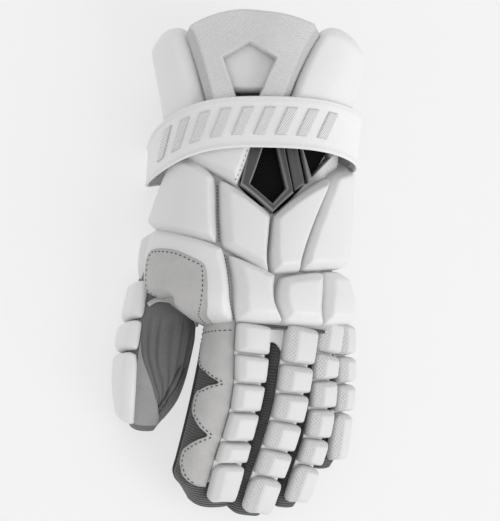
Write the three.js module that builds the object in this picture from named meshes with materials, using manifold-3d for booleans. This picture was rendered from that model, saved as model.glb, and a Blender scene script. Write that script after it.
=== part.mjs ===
// Left-hand lacrosse glove, lying on its palm: +Z up, fingers towards -Y, pinky side towards +X.
// Lengths are millimetres, angles are degrees. The origin is on the flat underside of the palm heel.
import * as THREE from "three";
import Module from "manifold-3d";
import { mergeVertices } from "three/addons/utils/BufferGeometryUtils.js";

// Driving dimensions
const backLength = 150; // origin to the flare of the cuff
const handWidth = 120; // widest part of the hand shell
const handHeight = 72; // height of the hand shell
const wall = 2.4; // cloth and leather walls
const clearance = 0.45; // between pieces that touch on the real glove
const padHeight = 12; // foam pads on the back of the hand
const padBevel = 5; // width of a pad's sloping edge
const wingHeight = 13; // cuff wings
const tongueHeight = 8; // soft pad under the cuff plate
const plateThickness = 5.5; // floating cuff plate
const bandWidth = 35; // elastic band round the wrist
const bandThickness = 2.4;
const ventHeight = 6; // moulded vent frame
const overlay = 1.2; // suede and leather overlays, net and finger webs
const fingerLength = 118; // middle finger, knuckle line to tip
const fingerWidth = 25; // middle finger stall, side to side
const fingerDepth = 30; // middle finger stall, back to palm side
const fingerPadHeight = 8;
const fingerPadBevel = 3;
const thumbLength = 113;
const thumbWidth = 45;
const thumbDepth = 42;
const bandAt = 0.653 * backLength; // middle of the band, from the origin
const bandDrop = 6; // the band sits this much further from the cuff on the palm side
const bandSag = 18; // and this much more beside the thumb,
const bandFlare = 3; // where its finger-side edge stands off by this much
const mouthLength = 0.927 * backLength; // origin to the end of the hand shell
const cuffRootAt = 0.647 * backLength; // origin to the lower end of the plate, tongue and wings

// Numerical helpers
const radians = THREE.MathUtils.degToRad;
const power = (value, exponent) => Math.sign(value) * Math.abs(value) ** exponent;
const mix = (a, b, share) => a + (b - a) * share;
const ramp = (a, b, value) => THREE.MathUtils.smoothstep(value, a, b);
const steps = (count) => Array.from({ length: count + 1 }, (_, i) => i / count);

// Smooth curve through one column of a table whose rows are sorted by their first column.
function column(rows, index, at) {
  const last = rows.length - 1;
  const slope = (i) => {
    const low = Math.max(i - 1, 0);
    const high = Math.min(i + 1, last);
    return (rows[high][index] - rows[low][index]) / (rows[high][0] - rows[low][0]);
  };
  const clamped = THREE.MathUtils.clamp(at, rows[0][0], rows[last][0]);
  let i = 0;
  while (i < last - 1 && clamped >= rows[i + 1][0]) i += 1;
  const span = rows[i + 1][0] - rows[i][0];
  const s = (clamped - rows[i][0]) / span;
  const smooth = s * s * (3 - 2 * s);
  const leave = (s * s * s - 2 * s * s + s) * span * slope(i);
  const arrive = (s * s * s - s * s) * span * slope(i + 1);
  return mix(rows[i][index], rows[i + 1][index], smooth) + leave + arrive;
}

// A limb is a closed tube of squared ovals along a path. point(angle, along, offset) is on its skin, or
// offset outside it: angle 0 is the back of the hand, -90 the thumb side, 90 the pinky side and 180 the
// palm side.
class Limb {
  // rows: along, x, y, z, left, right, above, below, roll
  constructor(rows, corners, floorAt = (y, offset) => Math.max(0, -offset)) {
    this.rows = rows;
    this.corners = corners;
    this.floorAt = floorAt;
  }

  centre(along) {
    return new THREE.Vector3(...[1, 2, 3].map((k) => column(this.rows, k, along)));
  }

  // Side and up directions at a station.
  axes(along) {
    const step = 0.002;
    const ahead = this.centre(Math.min(along + step, 1));
    const tangent = ahead.sub(this.centre(Math.max(along - step, 0))).normalize();
    if (this.straight) tangent.set(0, -1, 0);
    const flat = new THREE.Vector3(1, 0, 0).addScaledVector(tangent, -tangent.x).normalize();
    const raised = new THREE.Vector3().crossVectors(tangent, flat);
    const roll = radians(column(this.rows, 8, along));
    const side = flat.clone().multiplyScalar(Math.cos(roll)).addScaledVector(raised, -Math.sin(roll));
    const up = raised.multiplyScalar(Math.cos(roll)).addScaledVector(flat, Math.sin(roll));
    return { side, up };
  }

  point(angle, along, offset = 0) {
    const s = Math.sin(radians(angle));
    const c = Math.cos(radians(angle));
    const width = column(this.rows, s < 0 ? 4 : 5, along);
    const height = column(this.rows, c < 0 ? 7 : 6, along);
    const { leftTop, rightTop, under } = this.corners;
    const corner = c < 0 ? under : s < 0 ? leftTop : rightTop;
    const x = width * power(s, 2 / corner);
    const z = height * power(c, 2 / corner);
    const across = power(x / width, corner - 1) / width;
    const upward = power(z / height, corner - 1) / height;
    const normal = new THREE.Vector2(across, upward).setLength(offset);
    const { side, up } = this.axes(along);
    const found = this.centre(along).addScaledVector(side, x + normal.x).addScaledVector(up, z + normal.y);
    found.z = Math.max(found.z, this.floorAt(found.y, offset));
    return found;
  }
}

// Geometry makers
function closedGeometry(points, faces) {
  const geometry = new THREE.BufferGeometry();
  const numbers = points.flatMap((p) => [p.x, p.y, p.z]);
  geometry.setAttribute("position", new THREE.Float32BufferAttribute(numbers, 3));
  geometry.setIndex(faces.flat());
  return geometry;
}

// Solid between two grids of points with the same rows and columns; outer faces away from inner.
function gridSolid(outer, inner) {
  const rows = outer.length;
  const cols = outer[0].length;
  const points = [...outer.flat(), ...inner.flat()];
  const id = (layer, i, j) => layer * rows * cols + i * cols + j;
  const faces = [];
  const quad = (a, b, c, d) => faces.push([a, b, c], [a, c, d]);
  for (let i = 0; i < rows - 1; i += 1) {
    for (let j = 0; j < cols - 1; j += 1) {
      quad(id(0, i, j), id(0, i, j + 1), id(0, i + 1, j + 1), id(0, i + 1, j));
      quad(id(1, i, j), id(1, i + 1, j), id(1, i + 1, j + 1), id(1, i, j + 1));
    }
  }
  for (let j = 0; j < cols - 1; j += 1) {
    quad(id(0, 0, j), id(1, 0, j), id(1, 0, j + 1), id(0, 0, j + 1));
    quad(id(0, rows - 1, j), id(0, rows - 1, j + 1), id(1, rows - 1, j + 1), id(1, rows - 1, j));
  }
  for (let i = 0; i < rows - 1; i += 1) {
    quad(id(0, i, 0), id(0, i + 1, 0), id(1, i + 1, 0), id(1, i, 0));
    quad(id(0, i, cols - 1), id(1, i, cols - 1), id(1, i + 1, cols - 1), id(0, i + 1, cols - 1));
  }
  return closedGeometry(points, faces);
}

// Closed tube through rings of points, with a flat fan at each end.
function ringSolid(rings) {
  const count = rings[0].length;
  const points = rings.flat();
  const faces = [];
  for (let i = 0; i < rings.length - 1; i += 1) {
    for (let j = 0; j < count; j += 1) {
      const next = (j + 1) % count;
      const [a, b, c, d] = [i * count + j, i * count + next, (i + 1) * count + next, (i + 1) * count + j];
      faces.push([a, d, c], [a, c, b]);
    }
  }
  for (const [ring, turn] of [[0, 1], [rings.length - 1, -1]]) {
    const middle = points.length;
    points.push(rings[ring].reduce((sum, p) => sum.add(p), new THREE.Vector3()).divideScalar(count));
    for (let j = 0; j < count; j += 1) {
      const [a, b] = [ring * count + j, ring * count + ((j + 1) % count)];
      faces.push(turn > 0 ? [middle, a, b] : [middle, b, a]);
    }
  }
  return closedGeometry(points, faces);
}

// Closed loop through sections of points; the last section joins the first.
function loopSolid(sections) {
  const count = sections[0].length;
  const faces = [];
  sections.forEach((section, i) => {
    const after = (i + 1) % sections.length;
    for (let j = 0; j < count; j += 1) {
      const next = (j + 1) % count;
      const [a, b, c, d] = [i * count + j, i * count + next, after * count + next, after * count + j];
      faces.push([a, b, c], [a, c, d]);
    }
  });
  return closedGeometry(sections.flat(), faces);
}

const wasm = await Module();
wasm.setup();

function toSolid(geometry) {
  const bare = new THREE.BufferGeometry();
  bare.setAttribute("position", geometry.getAttribute("position").clone());
  bare.setIndex(geometry.getIndex());
  const merged = mergeVertices(bare, 1e-4);
  const vertProperties = new Float32Array(merged.getAttribute("position").array);
  const triVerts = new Uint32Array(merged.getIndex().array);
  return new wasm.Manifold(new wasm.Mesh({ numProp: 3, vertProperties, triVerts }));
}

function toGeometry(solid) {
  const mesh = solid.getMesh();
  const geometry = new THREE.BufferGeometry();
  geometry.setAttribute("position", new THREE.BufferAttribute(mesh.vertProperties, 3));
  geometry.setIndex(new THREE.BufferAttribute(mesh.triVerts, 1));
  return geometry;
}

// Materials
const finishes = {
  whiteLeather: { color: 0xeeeef0, roughness: 0.5, metalness: 0 },
  silverWeave: { color: 0xc9c9cd, roughness: 0.6, metalness: 0 },
  whiteElastic: { color: 0xe6e6e8, roughness: 0.75, metalness: 0 },
  greySuede: { color: 0xb0b0ae, roughness: 0.9, metalness: 0 },
  greyLeather: { color: 0x8d8e90, roughness: 0.7, metalness: 0 },
  darkMesh: { color: 0x3c3d40, roughness: 0.85, metalness: 0 },
  blackNet: { color: 0x101012, roughness: 0.8, metalness: 0 },
  ventGrey: { color: 0x55565a, roughness: 0.5, metalness: 0 },
};

const glove = new THREE.Group();
glove.name = "lacrosse_glove";

function add(name, solid, finish) {
  const material = new THREE.MeshStandardMaterial(finishes[finish]);
  const mesh = new THREE.Mesh(toGeometry(solid), material);
  mesh.name = name;
  glove.add(mesh);
}

// Hand shell: shares of backLength, handWidth and handHeight
const handStations = [
  // along, centre, lift, half width, above, below, roll
  [-0.28, 0.167, 0.611, 0.392, 0.375, 0.38, 16],
  [-0.147, 0.025, 0.569, 0.517, 0.458, 0.59, 8],
  [0, -0.025, 0.514, 0.508, 0.472, 0.57, 1],
  [0.167, -0.008, 0.5, 0.5, 0.458, 0.57, -4],
  [0.367, 0.025, 0.5, 0.475, 0.444, 0.57, -9],
  [0.587, 0.042, 0.528, 0.467, 0.431, 0.57, -14],
  [0.787, 0.058, 0.556, 0.492, 0.444, 0.56, -18],
  [1, 0.075, 0.583, 0.55, 0.472, 0.556, -20],
  [1.187, 0.092, 0.611, 0.6, 0.528, 0.583, -21],
];
const handRows = handStations.map(([along, centre, lift, half, above, below, roll]) => [
  along,
  centre * handWidth,
  along * backLength,
  lift * handHeight,
  half * handWidth,
  half * handWidth,
  above * handHeight,
  below * handHeight,
  roll,
]);
// The band passes under the wrist, so the shell is lifted there.
const bandLift = bandThickness + clearance;
const liftFrom = bandAt - 1.5 * bandWidth;
const handFloor = (y, offset) => {
  const lift = bandLift * ramp(liftFrom, liftFrom + bandWidth / 4, y);
  return Math.max(0, lift - offset);
};
const hand = new Limb(handRows, { leftTop: 2.5, rightTop: 2.5, under: 2.5 }, handFloor);
hand.straight = true;

// Fingers: shares of handWidth (x), handHeight (z), fingerLength, fingerWidth and fingerDepth
const fingerTable = [
  // name, knuckle x and z, tip x and z, length, left, left at tip, right, depth, roll, roll at tip, curl
  ["index", -0.129, 0.764, -0.175, 0.21, 0.957, 0.8, 1.25, 0.76, 1.13, 14, 16, 1.6],
  ["middle", 0.192, 0.722, 0.07, 0.19, 1, 0.82, 0.74, 0.48, 1, 16, 10, 1.6],
  ["ring", 0.358, 0.583, 0.265, 0.18, 0.949, 0.48, 0.46, 0.48, 0.94, 26, 18, 1.6],
  ["pinky", 0.492, 0.389, 0.5, 0.17, 0.718, 0.42, 0.38, 0.42, 0.84, 36, 30, 1.5],
];
const knuckleLine = -0.267 * backLength;
const tipNarrowing = 0.14;
const tipRounding = new Map([[0, 1], [0.2, 1], [0.4, 1], [0.6, 1], [0.8, 1], [0.94, 0.97], [1, 0.78]]);
const aboveShare = 0.45; // of a finger's depth that lies above its middle line
// A leather face covers the underside, so the stall itself is lifted by it.
const faceLift = overlay + clearance;
const fingerFloor = (y, offset) => Math.max(0, faceLift - offset);

function fingerLimb(row) {
  const [name, kneeX, kneeZ, tipX, tipZ, length, left, leftTip, right, depth, roll, rollTip, curl] = row;
  const rows = [...tipRounding].map(([along, rounding]) => {
    const narrow = (1 - tipNarrowing * along) * rounding;
    return [
      along,
      mix(kneeX, tipX, along) * handWidth,
      knuckleLine - along * length * fingerLength,
      mix(kneeZ, tipZ, along ** curl) * handHeight,
      mix(left, leftTip, along) * rounding * fingerWidth,
      right * narrow * fingerWidth,
      aboveShare * depth * narrow * fingerDepth,
      (1 - aboveShare) * depth * narrow * fingerDepth,
      mix(roll, rollTip, along),
    ];
  });
  return new Limb(rows, { leftTop: name === "index" ? 2.3 : 4, rightTop: 4, under: 3 }, fingerFloor);
}
const fingers = new Map(fingerTable.map((row) => [row[0], fingerLimb(row)]));

// Thumb: shares of handWidth (x), handHeight (z), thumbLength, thumbWidth and thumbDepth
const thumbRoot = 0.05 * backLength;
const thumbStations = [
  // along, x, y, z, left, right, above, below
  [0, -0.417, 0, 0.31, 0.44, 0.53, 0.33, 0.52],
  [0.25, -0.467, 0.25, 0.32, 0.44, 0.53, 0.36, 0.57],
  [0.5, -0.517, 0.51, 0.33, 0.47, 0.53, 0.43, 0.57],
  [0.75, -0.558, 0.76, 0.31, 0.42, 0.47, 0.4, 0.52],
  [0.92, -0.583, 0.92, 0.25, 0.29, 0.31, 0.31, 0.4],
  [1, -0.583, 1, 0.21, 0.16, 0.18, 0.21, 0.26],
];
const thumb = new Limb(
  thumbStations.map(([along, x, y, z, left, right, above, below]) => [
    along,
    x * handWidth,
    thumbRoot - y * thumbLength,
    z * handHeight,
    left * thumbWidth,
    right * thumbWidth,
    above * thumbDepth,
    below * thumbDepth,
    0,
  ]),
  { leftTop: 2.6, rightTop: 2.6, under: 2.6 },
);

// Closed solid through rings of points, whichever way they run.
function ringsToSolid(rings) {
  const solid = toSolid(ringSolid(rings));
  return solid.volume() < 0 ? toSolid(ringSolid([...rings].reverse())) : solid;
}

// Closed solid between two grids of points, whichever way they run.
function sheetSolid(outer, inner) {
  const solid = toSolid(gridSolid(outer, inner));
  return solid.volume() < 0 ? toSolid(gridSolid(inner, outer)) : solid;
}

// Points round a limb at one station.
function ringAround(limb, along, offset, around) {
  return steps(around).slice(0, -1).map((turn) => limb.point(turn * 360, along, offset));
}

// Solid limb through a list of stations, with its skin moved by offset.
function limbSolid(limb, stations, offset, around) {
  return ringsToSolid(stations.map((along) => ringAround(limb, along, offset, around)));
}

const largest = (solid) => solid.decompose().sort((a, b) => b.volume() - a.volume())[0];

// The hand is one hollow, open at the cuff, with a passage into each finger and the thumb.
const handAround = 24;
const handSteps = 8;
const fingerAround = 12;
const fingerSteps = 6;
const seamHeight = 0.5 * handHeight;
const knuckleEnd = handRows[0][0];
const mouthAt = mouthLength / backLength;
const endWall = 6; // the shell's end between the fingers
const skinStart = knuckleEnd + clearance / backLength;
const handRun = steps(handSteps).map((share) => mix(skinStart, mouthAt, share));
const beyondMouth = mouthAt + 0.1;
const hollowRun = [knuckleEnd + endWall / backLength, ...handRun.slice(1), beyondMouth];
const handSkin = limbSolid(hand, handRun, 0, handAround);
const handTrim = limbSolid(hand, [knuckleEnd, ...handRun, beyondMouth], clearance, handAround);
const handHollow = limbSolid(hand, hollowRun, -wall, handAround);
const hollowEnd = 0.965;
const fingerRun = steps(fingerSteps);

const passageRun = new THREE.Vector3(0, 2 * endWall, 0);
const stalls = [...fingers, ["thumb", thumb]].map(([name, limb]) => ({ name, limb }));
let shell = handSkin.subtract(handHollow);
for (const stall of stalls) {
  const { limb, name } = stall;
  stall.skin = limbSolid(limb, fingerRun, 0, fingerAround);
  stall.trim = limbSolid(limb, fingerRun, clearance, fingerAround);
  stall.hollow = limbSolid(limb, fingerRun.map((along) => along * hollowEnd), -wall, fingerAround);
  const opening = ringAround(limb, 0, -wall, fingerAround);
  const before = opening.map((p) => p.clone().add(passageRun));
  const after = opening.map((p) => p.clone().sub(passageRun));
  const passage = name === "thumb" ? stall.hollow : ringsToSolid([before, opening, after]);
  shell = shell.subtract(passage);
}
const farAway = 3 * backLength;
const half = (low, high) => {
  const geometry = new THREE.BoxGeometry(farAway, farAway, high - low);
  geometry.translate(0, 0, (high + low) / 2);
  return toSolid(geometry);
};
add("back_shell", largest(shell.intersect(half(seamHeight + clearance / 2, farAway))), "darkMesh");
add("palm_shell", largest(shell.intersect(half(-farAway, seamHeight - clearance / 2))), "greyLeather");

let taken = handTrim;
for (const stall of stalls) {
  const finish = stall.name === "thumb" ? "greyLeather" : "darkMesh";
  add(`${stall.name}_stall`, largest(stall.skin.subtract(stall.hollow).subtract(taken)), finish);
  taken = taken.add(stall.trim);
}

// Patch between four corners, each [angle, along]; its edges can bow outwards. With a leg, the finger-side
// edge keeps its left corner's station until leg[0] of the way across, and reaches the other's by leg[1].
function patchAt(corners, bow, s, t) {
  const [tl, tr, br, bl] = corners;
  const arch = (u) => 4 * u * (1 - u);
  const angle = mix(mix(tl[0], tr[0], s), mix(bl[0], br[0], s), t);
  const lower = bow.leg ? ramp(...bow.leg, s) : s;
  const along = mix(mix(tl[1], tr[1], s), mix(bl[1], br[1], lower), t);
  const pushed = arch(s) * ((1 - t) * (bow.top ?? 0) - t * (bow.bottom ?? 0));
  const swung = arch(t) * (s * (bow.right ?? 0) - (1 - s) * (bow.left ?? 0));
  return [angle + swung, along + pushed];
}

// Pad on a limb: walls, a sloping edge and a raised face. A bevel of 0 gives a flat sheet.
function pad(limb, { corners, bow = {}, base = clearance, height, bevel = 0, edge = 0.55, grid = [4, 4] }) {
  const at = (s, t, lift) => limb.point(...patchAt(corners, bow, s, t), lift);
  const wide = at(0, 0.5, base).distanceTo(at(1, 0.5, base));
  const long = at(0.5, 0, base).distanceTo(at(0.5, 1, base));
  const lines = (count, length) => {
    const rim = Math.min(bevel / length, 0.4);
    if (rim === 0) return steps(count);
    return [0, ...steps(count - 2).map((u) => mix(rim, 1 - rim, u)), 1];
  };
  const across = lines(grid[0], wide);
  const down = lines(grid[1], long);
  const onEdge = (u) => bevel > 0 && (u === 0 || u === 1);
  const layer = (lift) => down.map((t) => across.map((s) => at(s, t, lift(s, t))));
  const outer = layer((s, t) => base + height * (onEdge(s) || onEdge(t) ? edge : 1));
  return sheetSolid(outer, layer(() => base));
}

// The same pad reaching down into what carries it, cut back to a small gap above that.
function seated(limb, shape, carriers) {
  const base = shape.base ?? clearance;
  const deep = { ...shape, base: base - wall, height: shape.height + wall };
  return largest(pad(limb, deep).subtract(carriers));
}

// Room that a pad takes from its neighbours, a little wider and higher than the pad itself.
const roomGrowth = 1.05;
function room(limb, shape) {
  const base = (shape.base ?? clearance) - wall;
  const middle = [0, 1].map((k) => shape.corners.reduce((sum, corner) => sum + corner[k] / 4, 0));
  const corners = shape.corners.map((corner) => corner.map((value, k) => mix(middle[k], value, roomGrowth)));
  return pad(limb, { ...shape, corners, base, height: shape.height + wall + clearance });
}

// Straight-sided cutter through a limb's pads, over a ring of [angle, along] corners.
function cutter(limb, corners, from, to) {
  const ring = (offset) => corners.map(([angle, along]) => limb.point(angle, along, offset));
  return ringsToSolid([ring(from), ring(to)]);
}

// Thumb pads
const thumbPads = [
  // left, right at the top, left, right at the bottom, from, to
  [-122, -60, -122, -53, 0.17, 0.395],
  [-122, -53, -122, -51, 0.41, 0.575],
  [-122, -51, -122, -46, 0.59, 0.97],
];
const thumbRoom = [];
thumbPads.forEach(([topLeft, topRight, lowLeft, lowRight, from, to], i) => {
  const corners = [[topLeft, from], [topRight, from], [lowRight, to], [lowLeft, to]];
  const shape = { corners, height: fingerPadHeight, bevel: fingerPadBevel, edge: 0.65, grid: [4, 3] };
  add(`thumb_pad_${i + 1}`, seated(thumb, shape, taken), "whiteLeather");
  thumbRoom.push(room(thumb, shape));
});
taken = thumbRoom.reduce((sum, solid) => sum.add(solid), taken);

const kneeBow = { right: 14, leg: [0.4, 0.8] }; // its finger-side edge arches over the thumb
// Pads on the back of the hand: corners from the cuff side, clockwise, in degrees and shares of backLength.
const handPads = [
  // name, cuff left, cuff right, knuckle right, knuckle left, bow, grid
  ["wrist_pad_thumb", [-76, 0.5], [-30, 0.4], [-27, 0.1], [-101, 0.215], { top: 0.025 }, [5, 4]],
  ["wrist_pad_middle", [-27, 0.395], [1, 0.243], [-1, -0.02], [-23.5, 0.088], {}, [4, 4]],
  ["wrist_pad_outer", [4, 0.236], [47.5, 0.435], [16.5, -0.015], [2, -0.03], {}, [4, 4]],
  ["wrist_pad_side", [49.5, 0.445], [98, 0.5], [92, 0.05], [18.5, -0.013], {}, [5, 4]],
  ["cuff_base_pad", [-52, 0.63], [-3, 0.63], [-15, 0.375], [-55, 0.52], {}, [4, 3]],
  ["knuckle_pad_thumb", [-88, 0.19], [-23, 0.07], [-66, -0.262], [-102, -0.145], kneeBow, [6, 4]],
  ["knuckle_pad_middle", [-20, 0.04], [1, -0.04], [-13, -0.24], [-63, -0.252], { left: -16 }, [4, 4]],
  ["knuckle_pad_outer", [3.5, -0.055], [37, -0.01], [14, -0.245], [-10.5, -0.248], {}, [4, 4]],
  ["knuckle_pad_side", [39, -0.008], [92, 0.03], [78, -0.23], [16, -0.245], {}, [5, 4]],
  ["thumb_base_pad", [-130, 0.185], [-91, 0.185], [-103, -0.04], [-130, -0.04], {}, [4, 3]],
];
const handPadShape = { height: padHeight, bevel: padBevel, edge: 0.55 };
const patchCorners = [[-87, 0.06], [-42, -0.005], [-74, -0.25], [-101, -0.137]];
const patchBow = { right: 13, leg: [0.4, 0.85] };
for (const [name, tl, tr, br, bl, bow, grid] of handPads) {
  let solid = seated(hand, { ...handPadShape, corners: [tl, tr, br, bl], bow, grid }, taken);
  if (name === "knuckle_pad_thumb") {
    const sheet = { base: padHeight - overlay / 2, height: overlay, grid: [5, 3] };
    const patch = { corners: patchCorners, bow: patchBow, ...sheet };
    const above = { ...patch, base: patch.base + wall - clearance, height: padHeight };
    solid = largest(solid.subtract(room(hand, above)));
    add("knuckle_patch", largest(pad(hand, patch).subtract(taken)), "greySuede");
  }
  add(name, largest(solid), "whiteLeather");
}

// Finger pads: shares of each finger's length where its pads begin and end, and the angles of their sides.
const fingerPads = [
  // name, left, right, last end, starts
  ["index", -34, 15, 0.96, [0.004, 0.15, 0.302, 0.458, 0.62, 0.742]],
  ["middle", -31, 25, 0.985, [0.004, 0.183, 0.333, 0.484, 0.636, 0.782]],
  ["ring", -32, 32, 0.97, [0.004, 0.11, 0.268, 0.428, 0.594, 0.744]],
  ["pinky", -28, 33, 0.95, [0.004, 0.146, 0.358, 0.574]],
];
const fingerPadShape = { height: fingerPadHeight, bevel: fingerPadBevel, edge: 0.65, grid: [4, 3] };
const padGap = 1.6; // along a finger, between pads
const webInset = 3; // degrees that the web is narrower than its pads, each side
const faceAngles = [138, 150, 180, 210, 222]; // the leather face under a finger
for (const [name, left, right, end, starts] of fingerPads) {
  const limb = fingers.get(name);
  const length = fingerTable.find((row) => row[0] === name)[5] * fingerLength;
  const span = (from, to, inset = 0) => [
    [left + inset, from],
    [right - inset, from],
    [right - inset, to],
    [left + inset, to],
  ];
  const webEnd = (starts[starts.length - 1] + end) / 2;
  const web = { corners: span(starts[0], webEnd, webInset), height: overlay, grid: [3, 6] };
  add(`${name}_web`, pad(limb, web).subtract(handTrim), "whiteLeather");
  const carriers = taken.add(room(limb, web));
  starts.forEach((from, i) => {
    const last = i === starts.length - 1;
    const corners = span(from + clearance / length, last ? end : starts[i + 1] - padGap / length);
    const base = overlay + 2 * clearance;
    const shape = { ...fingerPadShape, corners, base };
    const solid = last ? seated(limb, shape, carriers) : pad(limb, shape).subtract(handTrim);
    add(`${name}_pad_${i + 1}`, solid, "whiteLeather");
  });
  const faceRow = (along, offset) => faceAngles.map((angle) => limb.point(angle, along, offset));
  const faceLayer = (offset) => fingerRun.map((along) => faceRow(along, offset));
  const face = sheetSolid(faceLayer(clearance + overlay), faceLayer(clearance));
  const others = stalls.filter((stall) => stall.name !== name);
  const clear = others.reduce((left, stall) => left.subtract(stall.trim), face.subtract(handTrim));
  add(`${name}_palm`, largest(clear), "greyLeather");
}

// Suede side panel of the index finger, with three lobes along its lower edge
const panelRight = -37;
const panelEdge = [
  // along, left angle
  [0.03, -124],
  [0.2, -122],
  [0.265, -90],
  [0.314, -54],
  [0.365, -86],
  [0.45, -95],
  [0.54, -88],
  [0.603, -54],
  [0.66, -82],
  [0.76, -92],
  [0.83, -82],
  [0.875, -45],
];
function panelLayer(offset) {
  const limb = fingers.get("index");
  const row = ([along, left]) => steps(3).map((s) => limb.point(mix(left, panelRight, s), along, offset));
  return panelEdge.map(row);
}
const panel = sheetSolid(panelLayer(clearance + overlay), panelLayer(-wall));
add("index_panel", largest(panel.subtract(taken)), "greySuede");

// Vent: a net on the shell under a moulded frame with two windows
const ventCorners = [[-3, 0.63], [54, 0.6], [3, 0.25], [-12.5, 0.37]];
const ventWindows = [
  [[0, 0.56], [-7, 0.38], [3, 0.29], [11, 0.365], [4, 0.56]],
  [[19, 0.57], [29, 0.43], [48, 0.52], [46, 0.57]],
];
const ventSheet = { corners: ventCorners, base: clearance, height: overlay, grid: [4, 3] };
add("vent_mesh", seated(hand, ventSheet, handTrim), "blackNet");
const frameEdge = { height: ventHeight, bevel: 2, edge: 0.7, grid: [4, 4] };
const frameShape = { ...ventSheet, ...frameEdge, base: overlay + 2 * clearance };
const cut = 4 * ventHeight;
const frameBlank = seated(hand, frameShape, handTrim.add(room(hand, ventSheet)));
const windows = ventWindows.map((ring) => cutter(hand, ring, -cut, cut));
add("vent_frame", largest(windows.reduce((left, window) => left.subtract(window), frameBlank)), "ventGrey");

// Floating cuff: tongue, plate with a five-sided window, and two wings
const cuffRoot = cuffRootAt / backLength;
const plateTop = 1.095;
const plateCorners = [[-43, plateTop], [24.5, plateTop], [4.5, cuffRoot], [-28, cuffRoot]];
const plateBow = { top: 0.075 };
const tongueEdge = { height: tongueHeight, bevel: 3, grid: [3, 3] };
const tongueShape = { corners: plateCorners, bow: { top: 0.02 }, ...tongueEdge };
add("cuff_tongue", seated(hand, tongueShape, handTrim), "whiteLeather");
const plateBase = tongueHeight + 2 * clearance;
const plateEdge = { height: plateThickness, bevel: 7, grid: [6, 4] };
const plateShape = { corners: plateCorners, bow: plateBow, base: plateBase, ...plateEdge };
const plateWindow = [[-6, 1.03], [-20, 0.96], [-13, 0.76], [-2, 0.76], [4, 0.955]];
const plateCut = cutter(hand, plateWindow, 0, 3 * plateBase);
const plateCarriers = handTrim.add(room(hand, tongueShape));
add("cuff_plate", largest(seated(hand, plateShape, plateCarriers).subtract(plateCut)), "silverWeave");
const wingShape = { height: wingHeight, bevel: padBevel, edge: 0.6, grid: [6, 4] };
const wings = [
  ["wing_left", [-88, 1.0], [-46, 1.09], [-31, cuffRoot], [-80, cuffRoot], { top: 0.06 }],
  ["wing_right", [27, 1.09], [70, 0.98], [64, cuffRoot], [7, cuffRoot], { top: 0.055, right: 8 }],
];
for (const [name, tl, tr, br, bl, bow] of wings) {
  const shape = { ...wingShape, corners: [tl, tr, br, bl], bow };
  add(name, seated(hand, shape, handTrim), "whiteLeather");
}

// Wrist band: a closed loop over the cuff's root, close to the shell on the palm side
const bandAround = 28;
const bandRise = plateBase + plateThickness + clearance;
const bandSections = steps(bandAround).slice(0, -1).map((turn) => {
  const angle = turn * 360 - 180;
  const near = angle < 0 ? ramp(105, 150, -angle) : ramp(60, 130, angle);
  const thumbSide = Math.exp(-(((angle + 95) / 45) ** 2));
  const middle = bandAt - (bandDrop * (1 - Math.cos(radians(angle)))) / 2 - bandSag * thumbSide;
  const corner = (side, lift) => {
    const rise = mix(bandRise, clearance, near) + (bandFlare * thumbSide * (1 - side)) / 2;
    const p = hand.point(angle, (middle + (side * bandWidth) / 2) / backLength, rise + lift);
    p.z = Math.max(p.z, bandThickness - lift);
    return p;
  };
  return [corner(-1, 0), corner(1, 0), corner(1, bandThickness), corner(-1, bandThickness)];
});
add("wrist_band", largest(toSolid(loopSolid(bandSections)).subtract(handTrim)), "whiteElastic");

export default glove;
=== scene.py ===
import math

import bpy
import numpy as np
from mathutils import Matrix


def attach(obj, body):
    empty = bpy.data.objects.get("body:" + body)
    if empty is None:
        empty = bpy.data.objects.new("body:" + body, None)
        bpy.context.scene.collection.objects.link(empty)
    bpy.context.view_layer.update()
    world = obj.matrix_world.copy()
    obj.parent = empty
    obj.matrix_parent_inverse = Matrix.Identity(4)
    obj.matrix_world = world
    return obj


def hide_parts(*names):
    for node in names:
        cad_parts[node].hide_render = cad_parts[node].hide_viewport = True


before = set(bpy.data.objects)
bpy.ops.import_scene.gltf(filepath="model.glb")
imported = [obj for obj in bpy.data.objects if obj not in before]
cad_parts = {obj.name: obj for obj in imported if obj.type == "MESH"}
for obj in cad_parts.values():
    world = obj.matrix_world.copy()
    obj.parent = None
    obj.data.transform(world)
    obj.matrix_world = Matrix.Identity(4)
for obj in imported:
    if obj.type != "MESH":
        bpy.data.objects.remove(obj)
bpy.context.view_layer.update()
print("frame loaded:", len(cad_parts), "nodes")

# Everything below is worked out in millimetres and degrees, and written to the meshes in metres.
glove = dict(back=150.0, width=120.0, height=72.0, gap=0.45, overlay=1.2)
# the palm is lifted over the band between two stations of it, liftFrom and liftTo
bandSize = dict(width=35.0, thickness=2.4, at=0.653 * glove["back"], drop=6.0, sag=18.0, dip=5.5, gather=0.24,
                flare=3.0, rise=14.85, liftFrom=45.5, liftTo=54.25)


# small helpers on arrays
def blend(a, b, share):
    return a + (b - a) * share


def power(value, exponent):
    return np.sign(value) * np.abs(value) ** exponent


def smooth(low, high, value):
    x = np.clip((value - low) / (high - low), 0, 1)
    return x * x * (3 - 2 * x)


def unit(vectors):
    return vectors / np.maximum(np.linalg.norm(vectors, axis=-1, keepdims=True), 1e-12)


def quarter(x):
    # height of a quarter circle: 0 at x = 0, upright there, and 1 from x = 1 on
    return np.sqrt(1 - (1 - np.clip(x, 0, 1)) ** 2)


def softMin(values, hardness=14.0):
    # smooth least of several arrays: minus the log of the sum of exp(-hardness * value), over hardness
    return -np.log(sum(np.exp(-hardness * v) for v in values)) / hardness


def arch(x):
    return 4 * x * (1 - x)


def edgeLines(count):
    # numbers from -1 to 1, closer together near both ends
    return np.sin(np.linspace(-math.pi / 2, math.pi / 2, count))


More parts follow.
